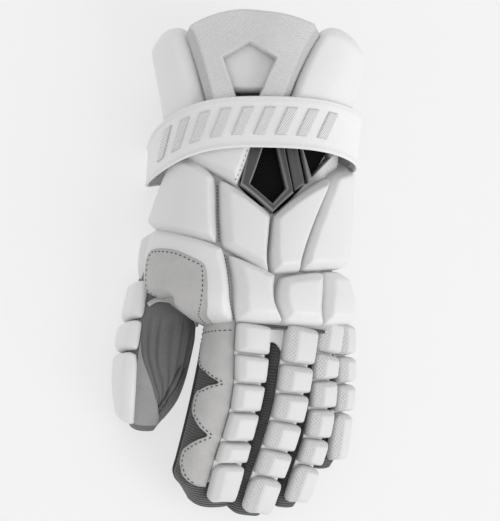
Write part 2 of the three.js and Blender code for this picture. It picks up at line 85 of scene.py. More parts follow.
def columnsAt(rows, at):
    # smooth curve through every column of a table: cubic pieces, slopes from the neighbours, held at the ends
    x, y = rows[:, 0], rows[:, 1:]
    at = np.clip(at, x[0], x[-1])
    i = np.clip(np.searchsorted(x, at, side="right") - 1, 0, len(x) - 2)
    order = np.arange(len(x))
    low, high = np.maximum(order - 1, 0), np.minimum(order + 1, len(x) - 1)
    slope = (y[high] - y[low]) / (x[high] - x[low])[:, None]
    span = (x[i + 1] - x[i])[..., None]
    s = (at - x[i])[..., None] / span
    ease = s * s * (3 - 2 * s)
    leave = (s**3 - 2 * s * s + s) * span * slope[i]
    arrive = (s**3 - s * s) * span * slope[i + 1]
    return blend(y[i], y[i + 1], ease) + leave + arrive


# the limbs that every piece lies on
class Limb:
    # tube of squared ovals along a path; turn 0 is the back of the hand and -90 its thumb side
    def __init__(self, rows, corners, floorAt, straight=False):
        self.rows = np.array(rows, float)
        self.corners = corners
        self.floorAt = floorAt
        self.straight = straight

    def axesAt(self, along):
        step = 0.002
        found = columnsAt(self.rows, along)
        ahead = columnsAt(self.rows, np.minimum(along + step, 1))[..., :3]
        behind = columnsAt(self.rows, along - step)[..., :3]
        tangent = unit(ahead - behind)
        if self.straight:
            tangent = np.zeros_like(tangent) + np.array([0.0, -1.0, 0.0])
        flat = unit(np.array([1.0, 0.0, 0.0]) - tangent * tangent[..., :1])
        raised = np.cross(tangent, flat)
        roll = np.radians(found[..., 7:8])
        side = flat * np.cos(roll) - raised * np.sin(roll)
        up = raised * np.cos(roll) + flat * np.sin(roll)
        return found, side, up

    def ovalAt(self, found, s, c):
        width = np.where(s < 0, found[..., 3], found[..., 4])
        height = np.where(c < 0, found[..., 6], found[..., 5])
        left, right, under = self.corners
        corner = np.where(c < 0, under, np.where(s < 0, left, right))
        return width, height, corner

    def bearing(self, turn, along):
        # direction, seen from the middle line, of the point that lies at `turn` on the squared oval
        turn, along = np.broadcast_arrays(np.asarray(turn, float), np.asarray(along, float))
        found = columnsAt(self.rows, along)
        s, c = np.sin(np.radians(turn)), np.cos(np.radians(turn))
        width, height, corner = self.ovalAt(found, s, c)
        x, z = width * power(s, 2 / corner), height * power(c, 2 / corner)
        return np.arctan2(x, z) + 2 * math.pi * np.round(turn / 360)

    def turnAt(self, phi, along):
        # the turn, in degrees, of the point that is seen in direction phi
        s, c = np.sin(phi), np.cos(phi)
        width, height, corner = self.ovalAt(columnsAt(self.rows, along), s, c)
        return np.degrees(np.arctan2(power(s / width, corner / 2), power(c / height, corner / 2)))

    def at(self, phi, along, offset=0.0):
        # point of the oval in direction phi, moved outwards square to the oval, and never under the floor
        phi, along, offset = np.broadcast_arrays(
            np.asarray(phi, float), np.asarray(along, float), np.asarray(offset, float)
        )
        found, side, up = self.axesAt(along)
        s, c = np.sin(phi), np.cos(phi)
        width, height, corner = self.ovalAt(found, s, c)
        reach = ((np.abs(s) / width) ** corner + (np.abs(c) / height) ** corner) ** (-1 / corner)
        x, z = reach * s, reach * c
        nx, nz = power(x / width, corner - 1) / width, power(z / height, corner - 1) / height
        long = np.hypot(nx, nz)
        point = found[..., :3] + side * (x + nx / long * offset)[..., None]
        point = point + up * (z + nz / long * offset)[..., None]
        point[..., 2] = np.maximum(point[..., 2], self.floorAt(point[..., 1], offset))
        return point

    def turned(self, turn, along, offset=0.0):
        return self.at(self.bearing(turn, along), along, offset)


# along, centre, lift, half width, above, below, roll: shares of the back's length, the width and the height
handTable = [
    [-0.28, 0.167, 0.611, 0.392, 0.375, 0.38, 16],
    [-0.147, 0.025, 0.569, 0.517, 0.458, 0.59, 8],
    [0, -0.025, 0.514, 0.508, 0.472, 0.57, 1],
    [0.167, -0.008, 0.5, 0.5, 0.458, 0.57, -4],
    [0.367, 0.025, 0.5, 0.475, 0.444, 0.57, -9],
    [0.587, 0.042, 0.528, 0.467, 0.431, 0.57, -14],
    [0.787, 0.058, 0.556, 0.492, 0.444, 0.56, -18],
    [1, 0.075, 0.583, 0.55, 0.472, 0.556, -20],
    [1.187, 0.092, 0.611, 0.6, 0.528, 0.583, -21],
]
handRows = [
    [a, c * glove["width"], a * glove["back"], z * glove["height"], w * glove["width"], w * glove["width"],
     up * glove["height"], low * glove["height"], roll]
    for a, c, z, w, up, low, roll in handTable
]


def handFloor(y, offset):
    lift = (bandSize["thickness"] + glove["gap"]) * smooth(bandSize["liftFrom"], bandSize["liftTo"], y)
    return np.maximum(0, lift - offset)


def fingerFloor(y, offset):
    return np.maximum(0, glove["overlay"] + glove["gap"] - offset)


hand = Limb(handRows, (2.5, 2.5, 2.5), handFloor, straight=True)

fingerSize = dict(length=118.0, width=25.0, depth=30.0, start=-0.267 * glove["back"], taper=0.14, above=0.45,
                  below=0.55)
# knuckle x and z, tip x and z, length, left, left at the tip, right, depth, roll, roll at the tip, curl
fingerTable = {
    "index": [-0.129, 0.764, -0.175, 0.21, 0.957, 0.8, 1.25, 0.76, 1.13, 14, 16, 1.6],
    "middle": [0.192, 0.722, 0.07, 0.19, 1, 0.82, 0.74, 0.48, 1, 16, 10, 1.6],
    "ring": [0.358, 0.583, 0.265, 0.18, 0.949, 0.48, 0.46, 0.48, 0.94, 26, 18, 1.6],
    "pinky": [0.492, 0.389, 0.5, 0.17, 0.718, 0.42, 0.38, 0.42, 0.84, 36, 30, 1.5],
}
# station, share of the full size there, and share of the index finger's left half, cut off at its tip
tipRounding = [[-0.15, 1, 1], [0, 1, 1], [0.2, 1, 1], [0.4, 1, 1], [0.6, 1, 1], [0.8, 1, 1], [0.86, 1, 1],
               [0.9, 1, 0.88], [0.94, 0.97, 0.72], [1, 0.78, 0.6]]
# millimetres that each finger bends towards the pinky side, at the same stations
fingerBend = {
    "index": [0, 0, 0, 0, 0, 0, 0, 0, 0, 0],
    "middle": [0, 0.2, 1.2, 2.8, 1.9, 0, -0.5, -0.8, -1.0, -1.2],
    "ring": [0, 0.3, 0.8, 3.8, 4.8, 2.6, 1.8, 1.4, 1.0, 0.8],
    "pinky": [0, 0.4, 1.5, 2.6, 2.5, 1.8, 1.6, 1.5, 1.4, 1.2],
}


def fingerLimb(name):
    kneeX, kneeZ, tipX, tipZ, length, left, leftTip, right, depth, roll, rollTip, curl = fingerTable[name]
    rows = []
    for (along, rounding, cut), bend in zip(tipRounding, fingerBend[name]):
        narrow = (1 - fingerSize["taper"] * along) * rounding
        rows.append([
            along,
            blend(kneeX, tipX, along) * glove["width"] + bend,
            fingerSize["start"] - along * length * fingerSize["length"],
            blend(kneeZ, tipZ, max(along, 0.0) ** curl) * glove["height"],
            blend(left, leftTip, along) * rounding * (cut if name == "index" else 1) * fingerSize["width"],
            right * narrow * fingerSize["width"],
            fingerSize["above"] * depth * narrow * fingerSize["depth"],
            fingerSize["below"] * depth * narrow * fingerSize["depth"],
            blend(roll, rollTip, along),
        ])
    return Limb(rows, (2.3 if name == "index" else 4.0, 4.0, 3.0), fingerFloor)


fingers = {name: fingerLimb(name) for name in fingerTable}

thumbSize = dict(length=113.0, width=45.0, depth=42.0, start=0.05 * glove["back"])
# along, centre, distance from the start, lift, left, right, above, below: shares of the sizes
thumbTable = [
    [0, -0.417, 0, 0.31, 0.44, 0.53, 0.33, 0.52],
    [0.25, -0.467, 0.25, 0.32, 0.44, 0.53, 0.36, 0.57],
    [0.5, -0.517, 0.51, 0.33, 0.47, 0.53, 0.43, 0.57],
    [0.75, -0.558, 0.76, 0.31, 0.42, 0.47, 0.4, 0.52],
    [0.92, -0.583, 0.92, 0.25, 0.29, 0.31, 0.31, 0.4],
    [1, -0.583, 1, 0.21, 0.16, 0.18, 0.21, 0.26],
]
thumb = Limb(
    [[a, x * glove["width"], thumbSize["start"] - y * thumbSize["length"], z * glove["height"],
      left * thumbSize["width"], right * thumbSize["width"],
      up * thumbSize["depth"], low * thumbSize["depth"], 0]
     for a, x, y, z, left, right, up, low in thumbTable],
    (2.6, 2.6, 2.6),
    lambda y, offset: np.maximum(0, -offset),
)


# shader expressions
class Value:
    # a socket that can be used in sums
    def __init__(self, shader, socket):
        self.shader = shader
        self.socket = socket

    def math(self, operation, *others):
        return self.shader.node("ShaderNodeMath", {"operation": operation}, [self, *others])

    def __add__(self, other):
        return self.math("ADD", other)

    def __mul__(self, other):
        return self.math("MULTIPLY", other)

    def __sub__(self, other):
        return self.math("SUBTRACT", other)

    def __rsub__(self, other):
        return self.shader.node("ShaderNodeMath", {"operation": "SUBTRACT"}, [other, self])

    __radd__ = __add__
    __rmul__ = __mul__


class Shader:
    def __init__(self, name):
        self.material = bpy.data.materials.new(name)
        self.material.use_nodes = True
        self.tree = self.material.node_tree
        self.surface = self.tree.nodes["Principled BSDF"]

    def feed(self, node, values):
        for key, value in values:
            if isinstance(value, Value):
                self.tree.links.new(value.socket, node.inputs[key])
            else:
                node.inputs[key].default_value = value

    def node(self, kind, settings=None, inputs=(), output=0):
        made = self.tree.nodes.new(kind)
        for key, value in (settings or {}).items():
            setattr(made, key, value)
        self.feed(made, inputs.items() if isinstance(inputs, dict) else enumerate(inputs))
        return Value(self, made.outputs[output])

    def place(self, scale=1000.0):
        # object coordinates in millimetres
        coords = self.node("ShaderNodeTexCoord", output=3)
        return self.node("ShaderNodeVectorMath", {"operation": "SCALE"}, {0: coords, 3: scale})

    def across(self):
        # the piece's own map, in millimetres: across and along
        coords = self.node("ShaderNodeUVMap", {"uv_map": "flat"})
        across = self.node("ShaderNodeSeparateXYZ", inputs=[coords])
        return across, Value(self, across.socket.node.outputs[1])

    def mark(self, name):
        # a number kept on the mesh
        return self.node("ShaderNodeAttribute", {"attribute_name": name}, output=2)

    def noise(self, vector, scale, detail=3.0, roughness=0.55):
        values = {"Vector": vector, "Scale": scale, "Detail": detail, "Roughness": roughness}
        return self.node("ShaderNodeTexNoise", {}, values)

    def cells(self, vector, scale, feature="F1"):
        return self.node("ShaderNodeTexVoronoi", {"feature": feature}, {"Vector": vector, "Scale": scale})

    def tint(self, share, first, second):
        # colour between two colours
        return self.node("ShaderNodeMix", {"data_type": "RGBA"}, {0: share, 6: first, 7: second}, output=2)

    def rimmed(self, colour, share, value):
        # a grey laid over the colour where the mesh marks a rim: seam lines, painted shade and painted
        # highlight
        return self.tint(self.mark("rim") * share, colour, grey(value))

    def finish(self, colour, roughness, height, distance, **sockets):
        bump = self.node("ShaderNodeBump", {}, {"Strength": 1.0, "Distance": distance, "Height": height})
        feeds = {"Base Color": colour, "Roughness": roughness, "Normal": bump}
        feeds.update({key.replace("_", " "): value for key, value in sockets.items()})
        self.feed(self.surface, feeds.items())
        return self.material


def grey(value, warm=0.0):
    return (value * (1 + warm), value, value * (1 - warm), 1.0)


def wave(value, length):
    # sine of a length in millimetres, from 0 to 1
    return (value * (2 * math.pi / length)).math("SINE") * 0.5 + 0.5


def whiteLeather(sh):
    place = sh.place()
    grain = sh.cells(place, 1.1, "SMOOTH_F1")
    creases = sh.noise(place, 0.09, 5.0, 0.6)
    toneAndShade = sh.noise(place, 0.02, 2.0)
    rim, hatch = sh.mark("rim"), sh.mark("hatch")
    across, along = sh.across()
    weave = wave(across + along, 2.6) * wave(across - along, 2.6)
    colour = sh.tint(toneAndShade, grey(0.76), grey(0.82))
    colour = sh.tint(hatch * (1 - weave) * 0.35, colour, grey(0.56))
    roughness = 0.36 + creases * 0.14 + hatch * 0.2 + rim * 0.2
    height = grain * 0.22 + creases * 0.9 + weave * hatch * 1.3
    # greyer where the rim is marked: painted shade beside the seams, in the gaps and on the sloping facets
    colour = sh.rimmed(colour, 0.45, 0.42)
    return sh.finish(colour, roughness, height, 0.00035, Coat_Weight=0.12, Coat_Roughness=0.35)


def silverWeave(sh):
    across, along = sh.across()
    ribs = wave(across.math("ABSOLUTE") * 0.8 - along * 0.6, 1.25)
    cross = wave(across.math("ABSOLUTE") * 0.6 + along * 0.8, 2.6)
    toneAndShade = sh.noise(sh.place(), 0.03, 3.0)
    # greyer where the rim is marked: painted shade on the plate's side facets, and along the edges
    colour = sh.rimmed(sh.tint(ribs * 0.6 + toneAndShade * 0.4, grey(0.62), grey(0.88)), 0.35, 0.33)
    height = ribs * 1.0 + cross * 0.25
    return sh.finish(colour, 0.4 + ribs * 0.18, height, 0.00035, Coat_Weight=0.2, Coat_Roughness=0.4)


def elastic(sh):
    across, along = sh.across()
    knit = wave(across, 1.1) * 0.5 + wave(along, 1.6) * 0.5
    toneAndShade = sh.noise(sh.place(), 0.05, 3.0)
    colour = sh.rimmed(sh.tint(toneAndShade, grey(0.8), grey(0.86)), 0.3, 0.5)
    return sh.finish(colour, 0.55 + knit * 0.12, knit + toneAndShade * 0.6, 0.0002, Sheen_Weight=0.2)


def suede(sh):
    place = sh.place()
    nap = sh.noise(place, 1.6, 6.0, 0.75)
    stroke = sh.noise(place, 0.12, 4.0, 0.65)
    colour = sh.rimmed(sh.tint(nap * 0.6 + stroke * 0.4, grey(0.37, 0.01), grey(0.69, 0.01)), 0.5, 0.2)
    return sh.finish(colour, 0.9, nap * 1.0 + stroke * 0.7, 0.0005, Sheen_Weight=0.35, Sheen_Roughness=0.4)


def greyLeather(sh, low, high):
    place = sh.place()
    grain = sh.cells(place, 0.8, "SMOOTH_F1")
    nap = sh.noise(place, 0.7, 6.0, 0.7)
    stroke = sh.noise(place, 0.06, 4.0, 0.6)
    # darker where the rim is marked: painted shade in the thumb's pleat troughs and slits, and along seams
    colour = sh.rimmed(sh.tint(nap * 0.45 + stroke * 0.55, grey(low), grey(high)), 0.6, low * 0.45)
    return sh.finish(colour, 0.72 + nap * 0.15, grain * 0.5 + nap * 0.8 + stroke, 0.0005, Sheen_Weight=0.2)


def darkMesh(sh):
    place = sh.place()
    _, along = sh.across()
    ribs = wave(along, 1.9)
    holes = sh.cells(place, 0.9)
    toneAndShade = sh.noise(place, 0.1, 3.0)
    colour = sh.tint(ribs * 0.65 + toneAndShade * 0.35, grey(0.028), grey(0.105))
    return sh.finish(colour, 0.75 + ribs * 0.1, ribs * 1.0 + holes * 0.5, 0.0006, Sheen_Weight=0.25)


def net(sh):
    across, along = sh.across()
    mesh = wave(across, 2.2) * wave(along, 2.2)
    return sh.finish(sh.tint(mesh, grey(0.003), grey(0.009)), 0.9, mesh, 0.0004, Specular_IOR_Level=0.12)


def ventPlastic(sh):
    fine = sh.noise(sh.place(), 1.4, 4.0)
    # lighter where the rim is marked: a painted highlight along the edges of the frames and the slat
    colour = sh.rimmed(grey(0.05), 0.9, 0.42)
    return sh.finish(colour, 0.34 + fine * 0.12, fine, 0.00008, Coat_Weight=0.3, Coat_Roughness=0.25)


def thread(sh, value):
    twist = sh.noise(sh.place(), 1.8, 3.0)
    return sh.finish(sh.tint(twist, grey(value * 0.8), grey(value * 1.1)), 0.65, twist, 0.0002)


def paleFloor(sh):
    fine = sh.noise(sh.place(1.0), 40.0, 3.0)
    colour = sh.tint(fine, grey(0.2), grey(0.21))
    return sh.finish(colour, 0.85, fine, 0.0001, Emission_Color=grey(1.0), Emission_Strength=0.68)


# each finish: the function that makes it, and its tones where several finishes share one
looks = {
    "white_leather": (whiteLeather,),
    "silver_weave": (silverWeave,),
    "white_elastic": (elastic,),
    "grey_suede": (suede,),
    "grey_leather": (greyLeather, 0.11, 0.2),
    "pale_leather": (greyLeather, 0.26, 0.38),
    "hem_leather": (greyLeather, 0.4, 0.6),
    "dark_mesh": (darkMesh,),
    "black_net": (net,),
    "vent_grey": (ventPlastic,),
    "grey_thread": (thread, 0.1),
    "dark_piping_and_slot_shade": (thread, 0.035),
}
finishes = {name: make(Shader(name), *tones) for name, (make, *tones) in looks.items()}
print("materials ready:", len(finishes))


def addPiece(name, points, faces, finish, slot=None, flat=None, marks=None):
    # points (n, 3) in millimetres, faces a list of index arrays of three or four columns
    # a piece with the name of a CAD node stands for that node
    faces = [np.asarray(f, np.int64) for f in faces if len(f)]
    volume = 0.0
    for c in (points[f] for f in faces):
        for k in range(1, c.shape[1] - 1):
            volume += np.einsum("ij,ij->", c[:, 0], np.cross(c[:, k], c[:, k + 1]))
    if volume < 0:
        faces = [f[:, ::-1] for f in faces]
    used, inverse = np.unique(np.concatenate([f.ravel() for f in faces]), return_inverse=True)
    counts = np.concatenate([np.full(len(f), f.shape[1]) for f in faces])
    mesh = bpy.data.meshes.new(name)
    mesh.vertices.add(len(used))
    mesh.vertices.foreach_set("co", (points[used] * 0.001).astype(np.float32).ravel())
    mesh.loops.add(len(inverse))
    mesh.loops.foreach_set("vertex_index", inverse.astype(np.int32).ravel())
    mesh.polygons.add(len(counts))
    mesh.polygons.foreach_set("loop_start", (np.cumsum(counts) - counts).astype(np.int32))
    mesh.polygons.foreach_set("use_smooth", np.ones(len(counts), bool))
    if flat is not None:
        layer = mesh.uv_layers.new(name="flat")
        layer.data.foreach_set("uv", flat[used][inverse].astype(np.float32).ravel())
    for key, value in (marks or {}).items():
        layer = mesh.attributes.new(key, "FLOAT", "POINT")
        layer.data.foreach_set("value", value[used].astype(np.float32))
    mesh.update(calc_edges=True)
    mesh.validate()
    mesh.materials.append(finishes[finish])
    piece = bpy.data.objects.new(name, mesh)
    bpy.context.scene.collection.objects.link(piece)
    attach(piece, "root")
    slot or finish
    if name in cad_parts:
        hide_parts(name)


def addSkin(name, top, low, faces, finish, slot=None, flat=None, rim=None, hatch=None, fill=None):
    # piece between an outer grid and an inner one, which share the outer one's map and marks
    points = np.concatenate([top.reshape(-1, 3), low.reshape(-1, 3)])
    flat = np.tile((lengthsOf(top) if flat is None else flat).reshape(-1, 2), (2, 1))
    plain = np.zeros(top.shape[:2])
    marks = {"rim": plain if rim is None else rim, "hatch": plain if hatch is None else hatch}
    marks = {key: np.tile(mark.ravel(), 2) for key, mark in marks.items()}
    addPiece(name, points, faces(*top.shape[:2]), finish, slot, flat, marks)


def gridFaces(ids):
    # quads between the neighbours of a two-way array of point numbers
    return np.stack([ids[:-1, :-1], ids[:-1, 1:], ids[1:, 1:], ids[1:, :-1]], -1).reshape(-1, 4)


def lensFaces(rows, cols, ring=False):
    # an outer grid and an inner one that share their border; a ring shares its first and last rows alone
    outer = np.arange(rows * cols).reshape(rows, cols)
    if ring:
        outer = np.concatenate([outer, outer[:, :1]], 1)
    inner = outer + rows * cols
    inner[0], inner[-1] = outer[0], outer[-1]
    if not ring:
        inner[:, 0], inner[:, -1] = outer[:, 0], outer[:, -1]
    return [gridFaces(outer), gridFaces(inner)[:, ::-1]]


def slabFaces(rows, cols):
    # an outer grid and an inner one, joined by walls round their border
    outer = np.arange(rows * cols).reshape(rows, cols)
    inner = outer + rows * cols
    walls = [(outer[0], inner[0]), (inner[-1], outer[-1]),
             (inner[:, 0], outer[:, 0]), (outer[:, -1], inner[:, -1])]
    return [gridFaces(outer), gridFaces(inner)[:, ::-1]] + [gridFaces(np.stack(w)) for w in walls]


def tubeFaces(rows, cols):
    # rings joined in order, with a fan to the two points that follow them
    ids = np.arange(rows * cols).reshape(rows, cols)
    ids = np.concatenate([ids, ids[:, :1]], 1)
    first, last = rows * cols, rows * cols + 1
    start = np.stack([np.full(cols, first), ids[0, 1:], ids[0, :-1]], -1)
    end = np.stack([np.full(cols, last), ids[-1, :-1], ids[-1, 1:]], -1)
    return [gridFaces(ids), start, end]


def lengthAlong(path):
    # distance along a line of points, from 0 at the first
    return np.concatenate([[0], np.cumsum(np.linalg.norm(np.diff(path, axis=0), axis=-1))])


def lengthsOf(grid):
    # the flat map of a grid: distances across and along its middle lines, from its middle
    rows, cols = grid.shape[:2]
    across = np.linalg.norm(np.diff(grid, axis=1), axis=-1)[rows // 2]
    along = np.linalg.norm(np.diff(grid, axis=0), axis=-1)[:, cols // 2]
    u = np.concatenate([[0], np.cumsum(across)])
    v = np.concatenate([[0], np.cumsum(along)])
    return np.stack(np.meshgrid(u - u[-1] / 2, v), -1)


class Pad:
    # foam block under leather on a limb: u runs from the left edge to the right, v from the cuff end to the
    # finger end, both -1 to 1. Its height is a rounded wall times the soft least of its four sloping edges.
    def __init__(self, limb, corners, bow=None, base=0.45, height=12.0, wall=0.4, edge=1.6,
                 bevels=(5, 5, 5, 5), rounding=0.08, grow=(0, 0, 0, 0), crown=0.6, hardness=14.0):
        self.limb, self.corners, self.bow = limb, np.array(corners, float), bow or {}
        self.base, self.height, self.wall, self.edge, self.bevels = base, height, wall, edge, bevels
        self.rounding, self.grow, self.crown, self.hardness = rounding, grow, crown, hardness

    def spot(self, u, v):
        # direction and station of a place on the pad; bows are in degrees and in shares of the length
        s, t = (u + 1) / 2, (v + 1) / 2
        tl, tr, br, bl = self.corners
        bow = self.bow
        phi = [self.limb.bearing(turn, along) for turn, along in self.corners]
        lowPhi, lowAlong = blend(phi[3], phi[2], s), blend(bl[1], br[1], s)
        if "low" in bow:
            # share across, turn, station and overhang in degrees of places on the finger end; rows of the pad
            # bend towards the overhang only near that end, as the sixth power of t, so that they never cross
            lowTurn, lowAlong, over = np.moveaxis(columnsAt(np.array(bow["low"], float), s), -1, 0)
            lowPhi = self.limb.bearing(lowTurn, lowAlong)
            lowPhi = lowPhi + (self.limb.bearing(lowTurn + over, lowAlong) - lowPhi) * t**6
        along = blend(blend(tl[1], tr[1], s), lowAlong, t)
        along = along + arch(s) * ((1 - t) * bow.get("top", 0) - t * bow.get("bottom", 0))
        swing = arch(t) * (s * bow.get("right", 0) - (1 - s) * bow.get("left", 0))
        return blend(blend(phi[0], phi[1], s), lowPhi, t) + np.radians(swing), along

    def reach(self, u, v):
        # width and length through a place, in millimetres
        one = np.ones_like(u)
        left, right, top, bottom = (
            self.limb.at(*self.spot(a, b), self.base) for a, b in ((-one, v), (one, v), (u, -one), (u, one)))
        return np.linalg.norm(right - left, axis=-1), np.linalg.norm(bottom - top, axis=-1)

    def profile(self, u, v):
        wide, long = self.reach(u, v)
        sides = [(1 + u) / 2 * wide, (1 - u) / 2 * wide, (1 + v) / 2 * long, (1 - v) / 2 * long]
        walls = np.prod([quarter(d / self.edge) for d in sides], axis=0)
        slopes = [d / b for d, b in zip(sides, self.bevels)]
        top = softMin(slopes + [np.ones_like(u)], self.hardness)
        share = self.wall * walls + (1 - self.wall) * np.clip(top, 0, None)
        swell = self.crown * (1 - u * u) * (1 - v * v)
        return share, swell, sides, slopes

    def at(self, u, v, lift=0.0, under=False):
        # rounding pulls the corners in; each side is then moved out by its own millimetres
        wide, long = self.reach(u, v)
        k, p = self.rounding, 7
        left, right, top, bottom = self.grow
        pu = u * (1 - k * np.abs(v) ** p) + (right * (1 + u) - left * (1 - u)) / wide
        pv = v * (1 - k * np.abs(u) ** p) + (bottom * (1 + v) - top * (1 - v)) / long
        share, swell, _, _ = self.profile(u, v)
        raised = self.base + (0 if under else self.height * share + swell) + lift
        return self.limb.at(*self.spot(pu, pv), raised)

    def build(self, name, counts, fill=None, finish="white_leather", hatched=False, ripple=0.0, seed=0.0,
              toneAndShade=0.0):
        # the rim is marked beside the seams, as a dark seam line with painted shade in the gap, and by the
        # given share on the sloping edges, as painted shade on the facets; the weave of a hatched pad lies on
        # its left and cuff-side slopes
        v, u = np.meshgrid(edgeLines(counts[1]), edgeLines(counts[0]), indexing="ij")
        share, _, sides, slopes = self.profile(u, v)
        least = np.min(sides, axis=0)
        lift = ripple * pucker(u, v, least, seed) if ripple else 0.0
        rim = np.exp(-least / 0.9) + toneAndShade * (0.6 + 0.4 * smooth(0.4, 1.2, np.min(slopes, axis=0)))
        hatch = None
        if hatched:
            hatch = (1 - smooth(0.8, 1.1, np.minimum(slopes[0], slopes[2]))) * smooth(0.5, 1.2, least)
        top, low = self.at(u, v, lift), self.at(u, v, under=True)
        addSkin(name, top, low, lensFaces, finish, rim=rim, hatch=hatch, fill=fill)


def pucker(u, v, least, seed):
    # small gathers of the leather near the seams, fading towards the middle of the pad
    waves = np.sin(9 * u + 2.3 * v + seed) * np.sin(8 * v - 1.7 * u + 2 * seed)
    fine = np.sin(23 * u + 5 * v + 3 * seed) * np.sin(19 * v + seed)
    return (0.6 * waves + 0.4 * fine) * np.exp(-((least - 4) / 4) ** 2)


threadSize = dict(rings=5, sides=6, taper=0.05, end=1.05)


def stitches(name, path, normals, slot="grey_suede", spacing=3.4, length=2.6, radius=0.48):
    # a row of short grey threads along a path: each is a spindle whose ends dive into the leather
    run = lengthAlong(path)
    count = max(int(run[-1] / spacing), 1)
    at = (np.arange(count) + 0.5) * run[-1] / count

    def along(rows, at):
        return np.stack([np.interp(at, run, rows[:, k]) for k in range(3)], -1)

    middle, up = along(path, at), unit(along(normals, at))
    ahead = unit(along(path, at + 0.5) - along(path, at - 0.5))
    side = unit(np.cross(ahead, up))
    t = np.linspace(-1, 1, threadSize["rings"])
    turn = np.arange(threadSize["sides"]) * 2 * math.pi / threadSize["sides"]
    fat = radius * np.sqrt(np.clip(1 - t**4, threadSize["taper"], 1))
    dip = -radius * t * t
    local = (
        middle[:, None, None]
        + ahead[:, None, None] * (t * length / 2)[None, :, None, None]
        + up[:, None, None] * (dip[:, None] + fat[:, None] * np.cos(turn))[None, :, :, None]
        + side[:, None, None] * (fat[:, None] * np.sin(turn))[None, :, :, None]
    )
    reach = np.array([-1, 1]) * length / 2 * threadSize["end"]
    ends = middle[:, None] + ahead[:, None] * reach[None, :, None]
    ends = ends + up[:, None] * (-radius)
    points = np.concatenate([local.reshape(count, -1, 3), ends], 1)
    starts = (np.arange(count) * points.shape[1])[:, None, None]
    faces = [(f[None] + starts).reshape(-1, f.shape[1]) for f in tubeFaces(len(t), len(turn))]
    addPiece(name, points.reshape(-1, 3), faces, "grey_thread", slot)


def cord(name, path, normals, radius, finish, slot, squash=1.0, sides=10):
    # round piping along a path; squash flattens it towards the surface under it
    ahead = unit(np.gradient(path, axis=0))
    side = unit(np.cross(ahead, normals))
    up = np.cross(side, ahead)
    turn = np.arange(sides) * 2 * math.pi / sides
    rings = path[:, None] + up[:, None] * (radius * squash * np.cos(turn))[None, :, None]
    rings = rings + side[:, None] * (radius * np.sin(turn))[None, :, None]
    points = np.concatenate([rings.reshape(-1, 3), path[:1], path[-1:]])
    addPiece(name, points, tubeFaces(len(path), sides), finish, slot)


def normalsOf(place, u, v, step=0.01):
    # outward direction of a surface at (u, v), from two small steps
    across = place(u + step, v) - place(u - step, v)
    along = place(u, v + step) - place(u, v - step)
    return unit(np.cross(along, across))


# camera, light and floor
view = dict(tilt=22.0, lean=9.0, scale=0.683, rows=521, right=14.3, up=15.3, distance=2500.0, back=40,
            sensor=36)
tilt, lean = math.radians(view["tilt"]), math.radians(view["lean"])
rightward = np.array([math.cos(tilt), 0, math.sin(tilt)])
towards = np.array([-math.sin(tilt) * math.cos(lean), -math.sin(lean), math.cos(tilt) * math.cos(lean)])
upward = np.cross(towards, rightward)
eye = rightward * view["right"] + upward * view["up"] + towards * (view["distance"] + view["back"])
camera = bpy.data.objects.new("camera", bpy.data.cameras.new("camera"))
camera.data.sensor_width = view["sensor"]
camera.data.lens = view["sensor"] * view["distance"] / (view["rows"] * view["scale"])
camera.data.clip_start, camera.data.clip_end = 0.05, 20
camera.matrix_world = Matrix([
    [rightward[k], upward[k], towards[k], eye[k] / 1000] for k in range(3)
] + [[0, 0, 0, 1]])
bpy.context.scene.collection.objects.link(camera)
bpy.context.scene.camera = camera
bpy.context.scene.view_settings.view_transform = "Standard"

light = dict(sky=0.74, key=19.0, keySize=1.5, fill=1.0, fillSize=1.5)
world = bpy.data.worlds.new("studio")
world.use_nodes = True
world.node_tree.nodes["Background"].inputs[0].default_value = (1, 1, 1, 1)
world.node_tree.nodes["Background"].inputs[1].default_value = light["sky"]
bpy.context.scene.world = world


def addLamp(name, place, power, size):
    lamp = bpy.data.objects.new(name, bpy.data.lights.new(name, "AREA"))
    lamp.data.energy = power
    lamp.data.size = size
    aim = -np.array(place, float)
    z = unit(-aim)
    x = unit(np.cross([0.0, 1.0, 0.0], z))
    y = np.cross(z, x)
    lamp.matrix_world = Matrix([[x[k], y[k], z[k], place[k]] for k in range(3)] + [[0, 0, 0, 1]])
    bpy.context.scene.collection.objects.link(lamp)


addLamp("key", (1.3, -0.9, 1.3), light["key"], light["keySize"])
addLamp("fill", (-1.2, 0.5, 1.5), light["fill"], light["fillSize"])

floorMesh = bpy.data.meshes.new("floor")
floorMesh.from_pydata([(-6, -6, 0), (6, -6, 0), (6, 6, 0), (-6, 6, 0)], [], [(0, 1, 2, 3)])
floorMesh.materials.append(paleFloor(Shader("pale_floor")))
floorPiece = bpy.data.objects.new("floor", floorMesh)
bpy.context.scene.collection.objects.link(floorPiece)
print("camera, light and floor ready")

# hand shell: each half is a closed skin with its lining, round the palm's hollow and over its end
shell = dict(start=-0.277, mouth=0.927, wall=2.4, end=6.0, seam=93.0, slit=0.3, rows=60, cols=90, rings=8)


def shellHalf(name, fromTurn, toTurn, finish):
    turns = np.radians(np.linspace(fromTurn, toTurn, shell["cols"]))
    run = np.linspace(shell["start"], shell["mouth"], shell["rows"])
    phi, along = np.meshgrid(turns, run)
    innerStart = shell["start"] + shell["end"] / glove["back"]
    outer, inner = hand.at(phi, along), hand.at(phi, np.maximum(along, innerStart), -shell["wall"])
    # the knuckle end is closed by rings that shrink towards the middle line
    shrink = np.linspace(0.02, 0.97, shell["rings"])[:, None, None]
    skins = []
    for skin, start in ((outer, run[0]), (inner, innerStart)):
        middle = columnsAt(hand.rows, start)[:3]
        skins.append(np.concatenate([middle + (skin[:1] - middle) * shrink, skin]))
    addSkin(name, *skins, slabFaces, finish)


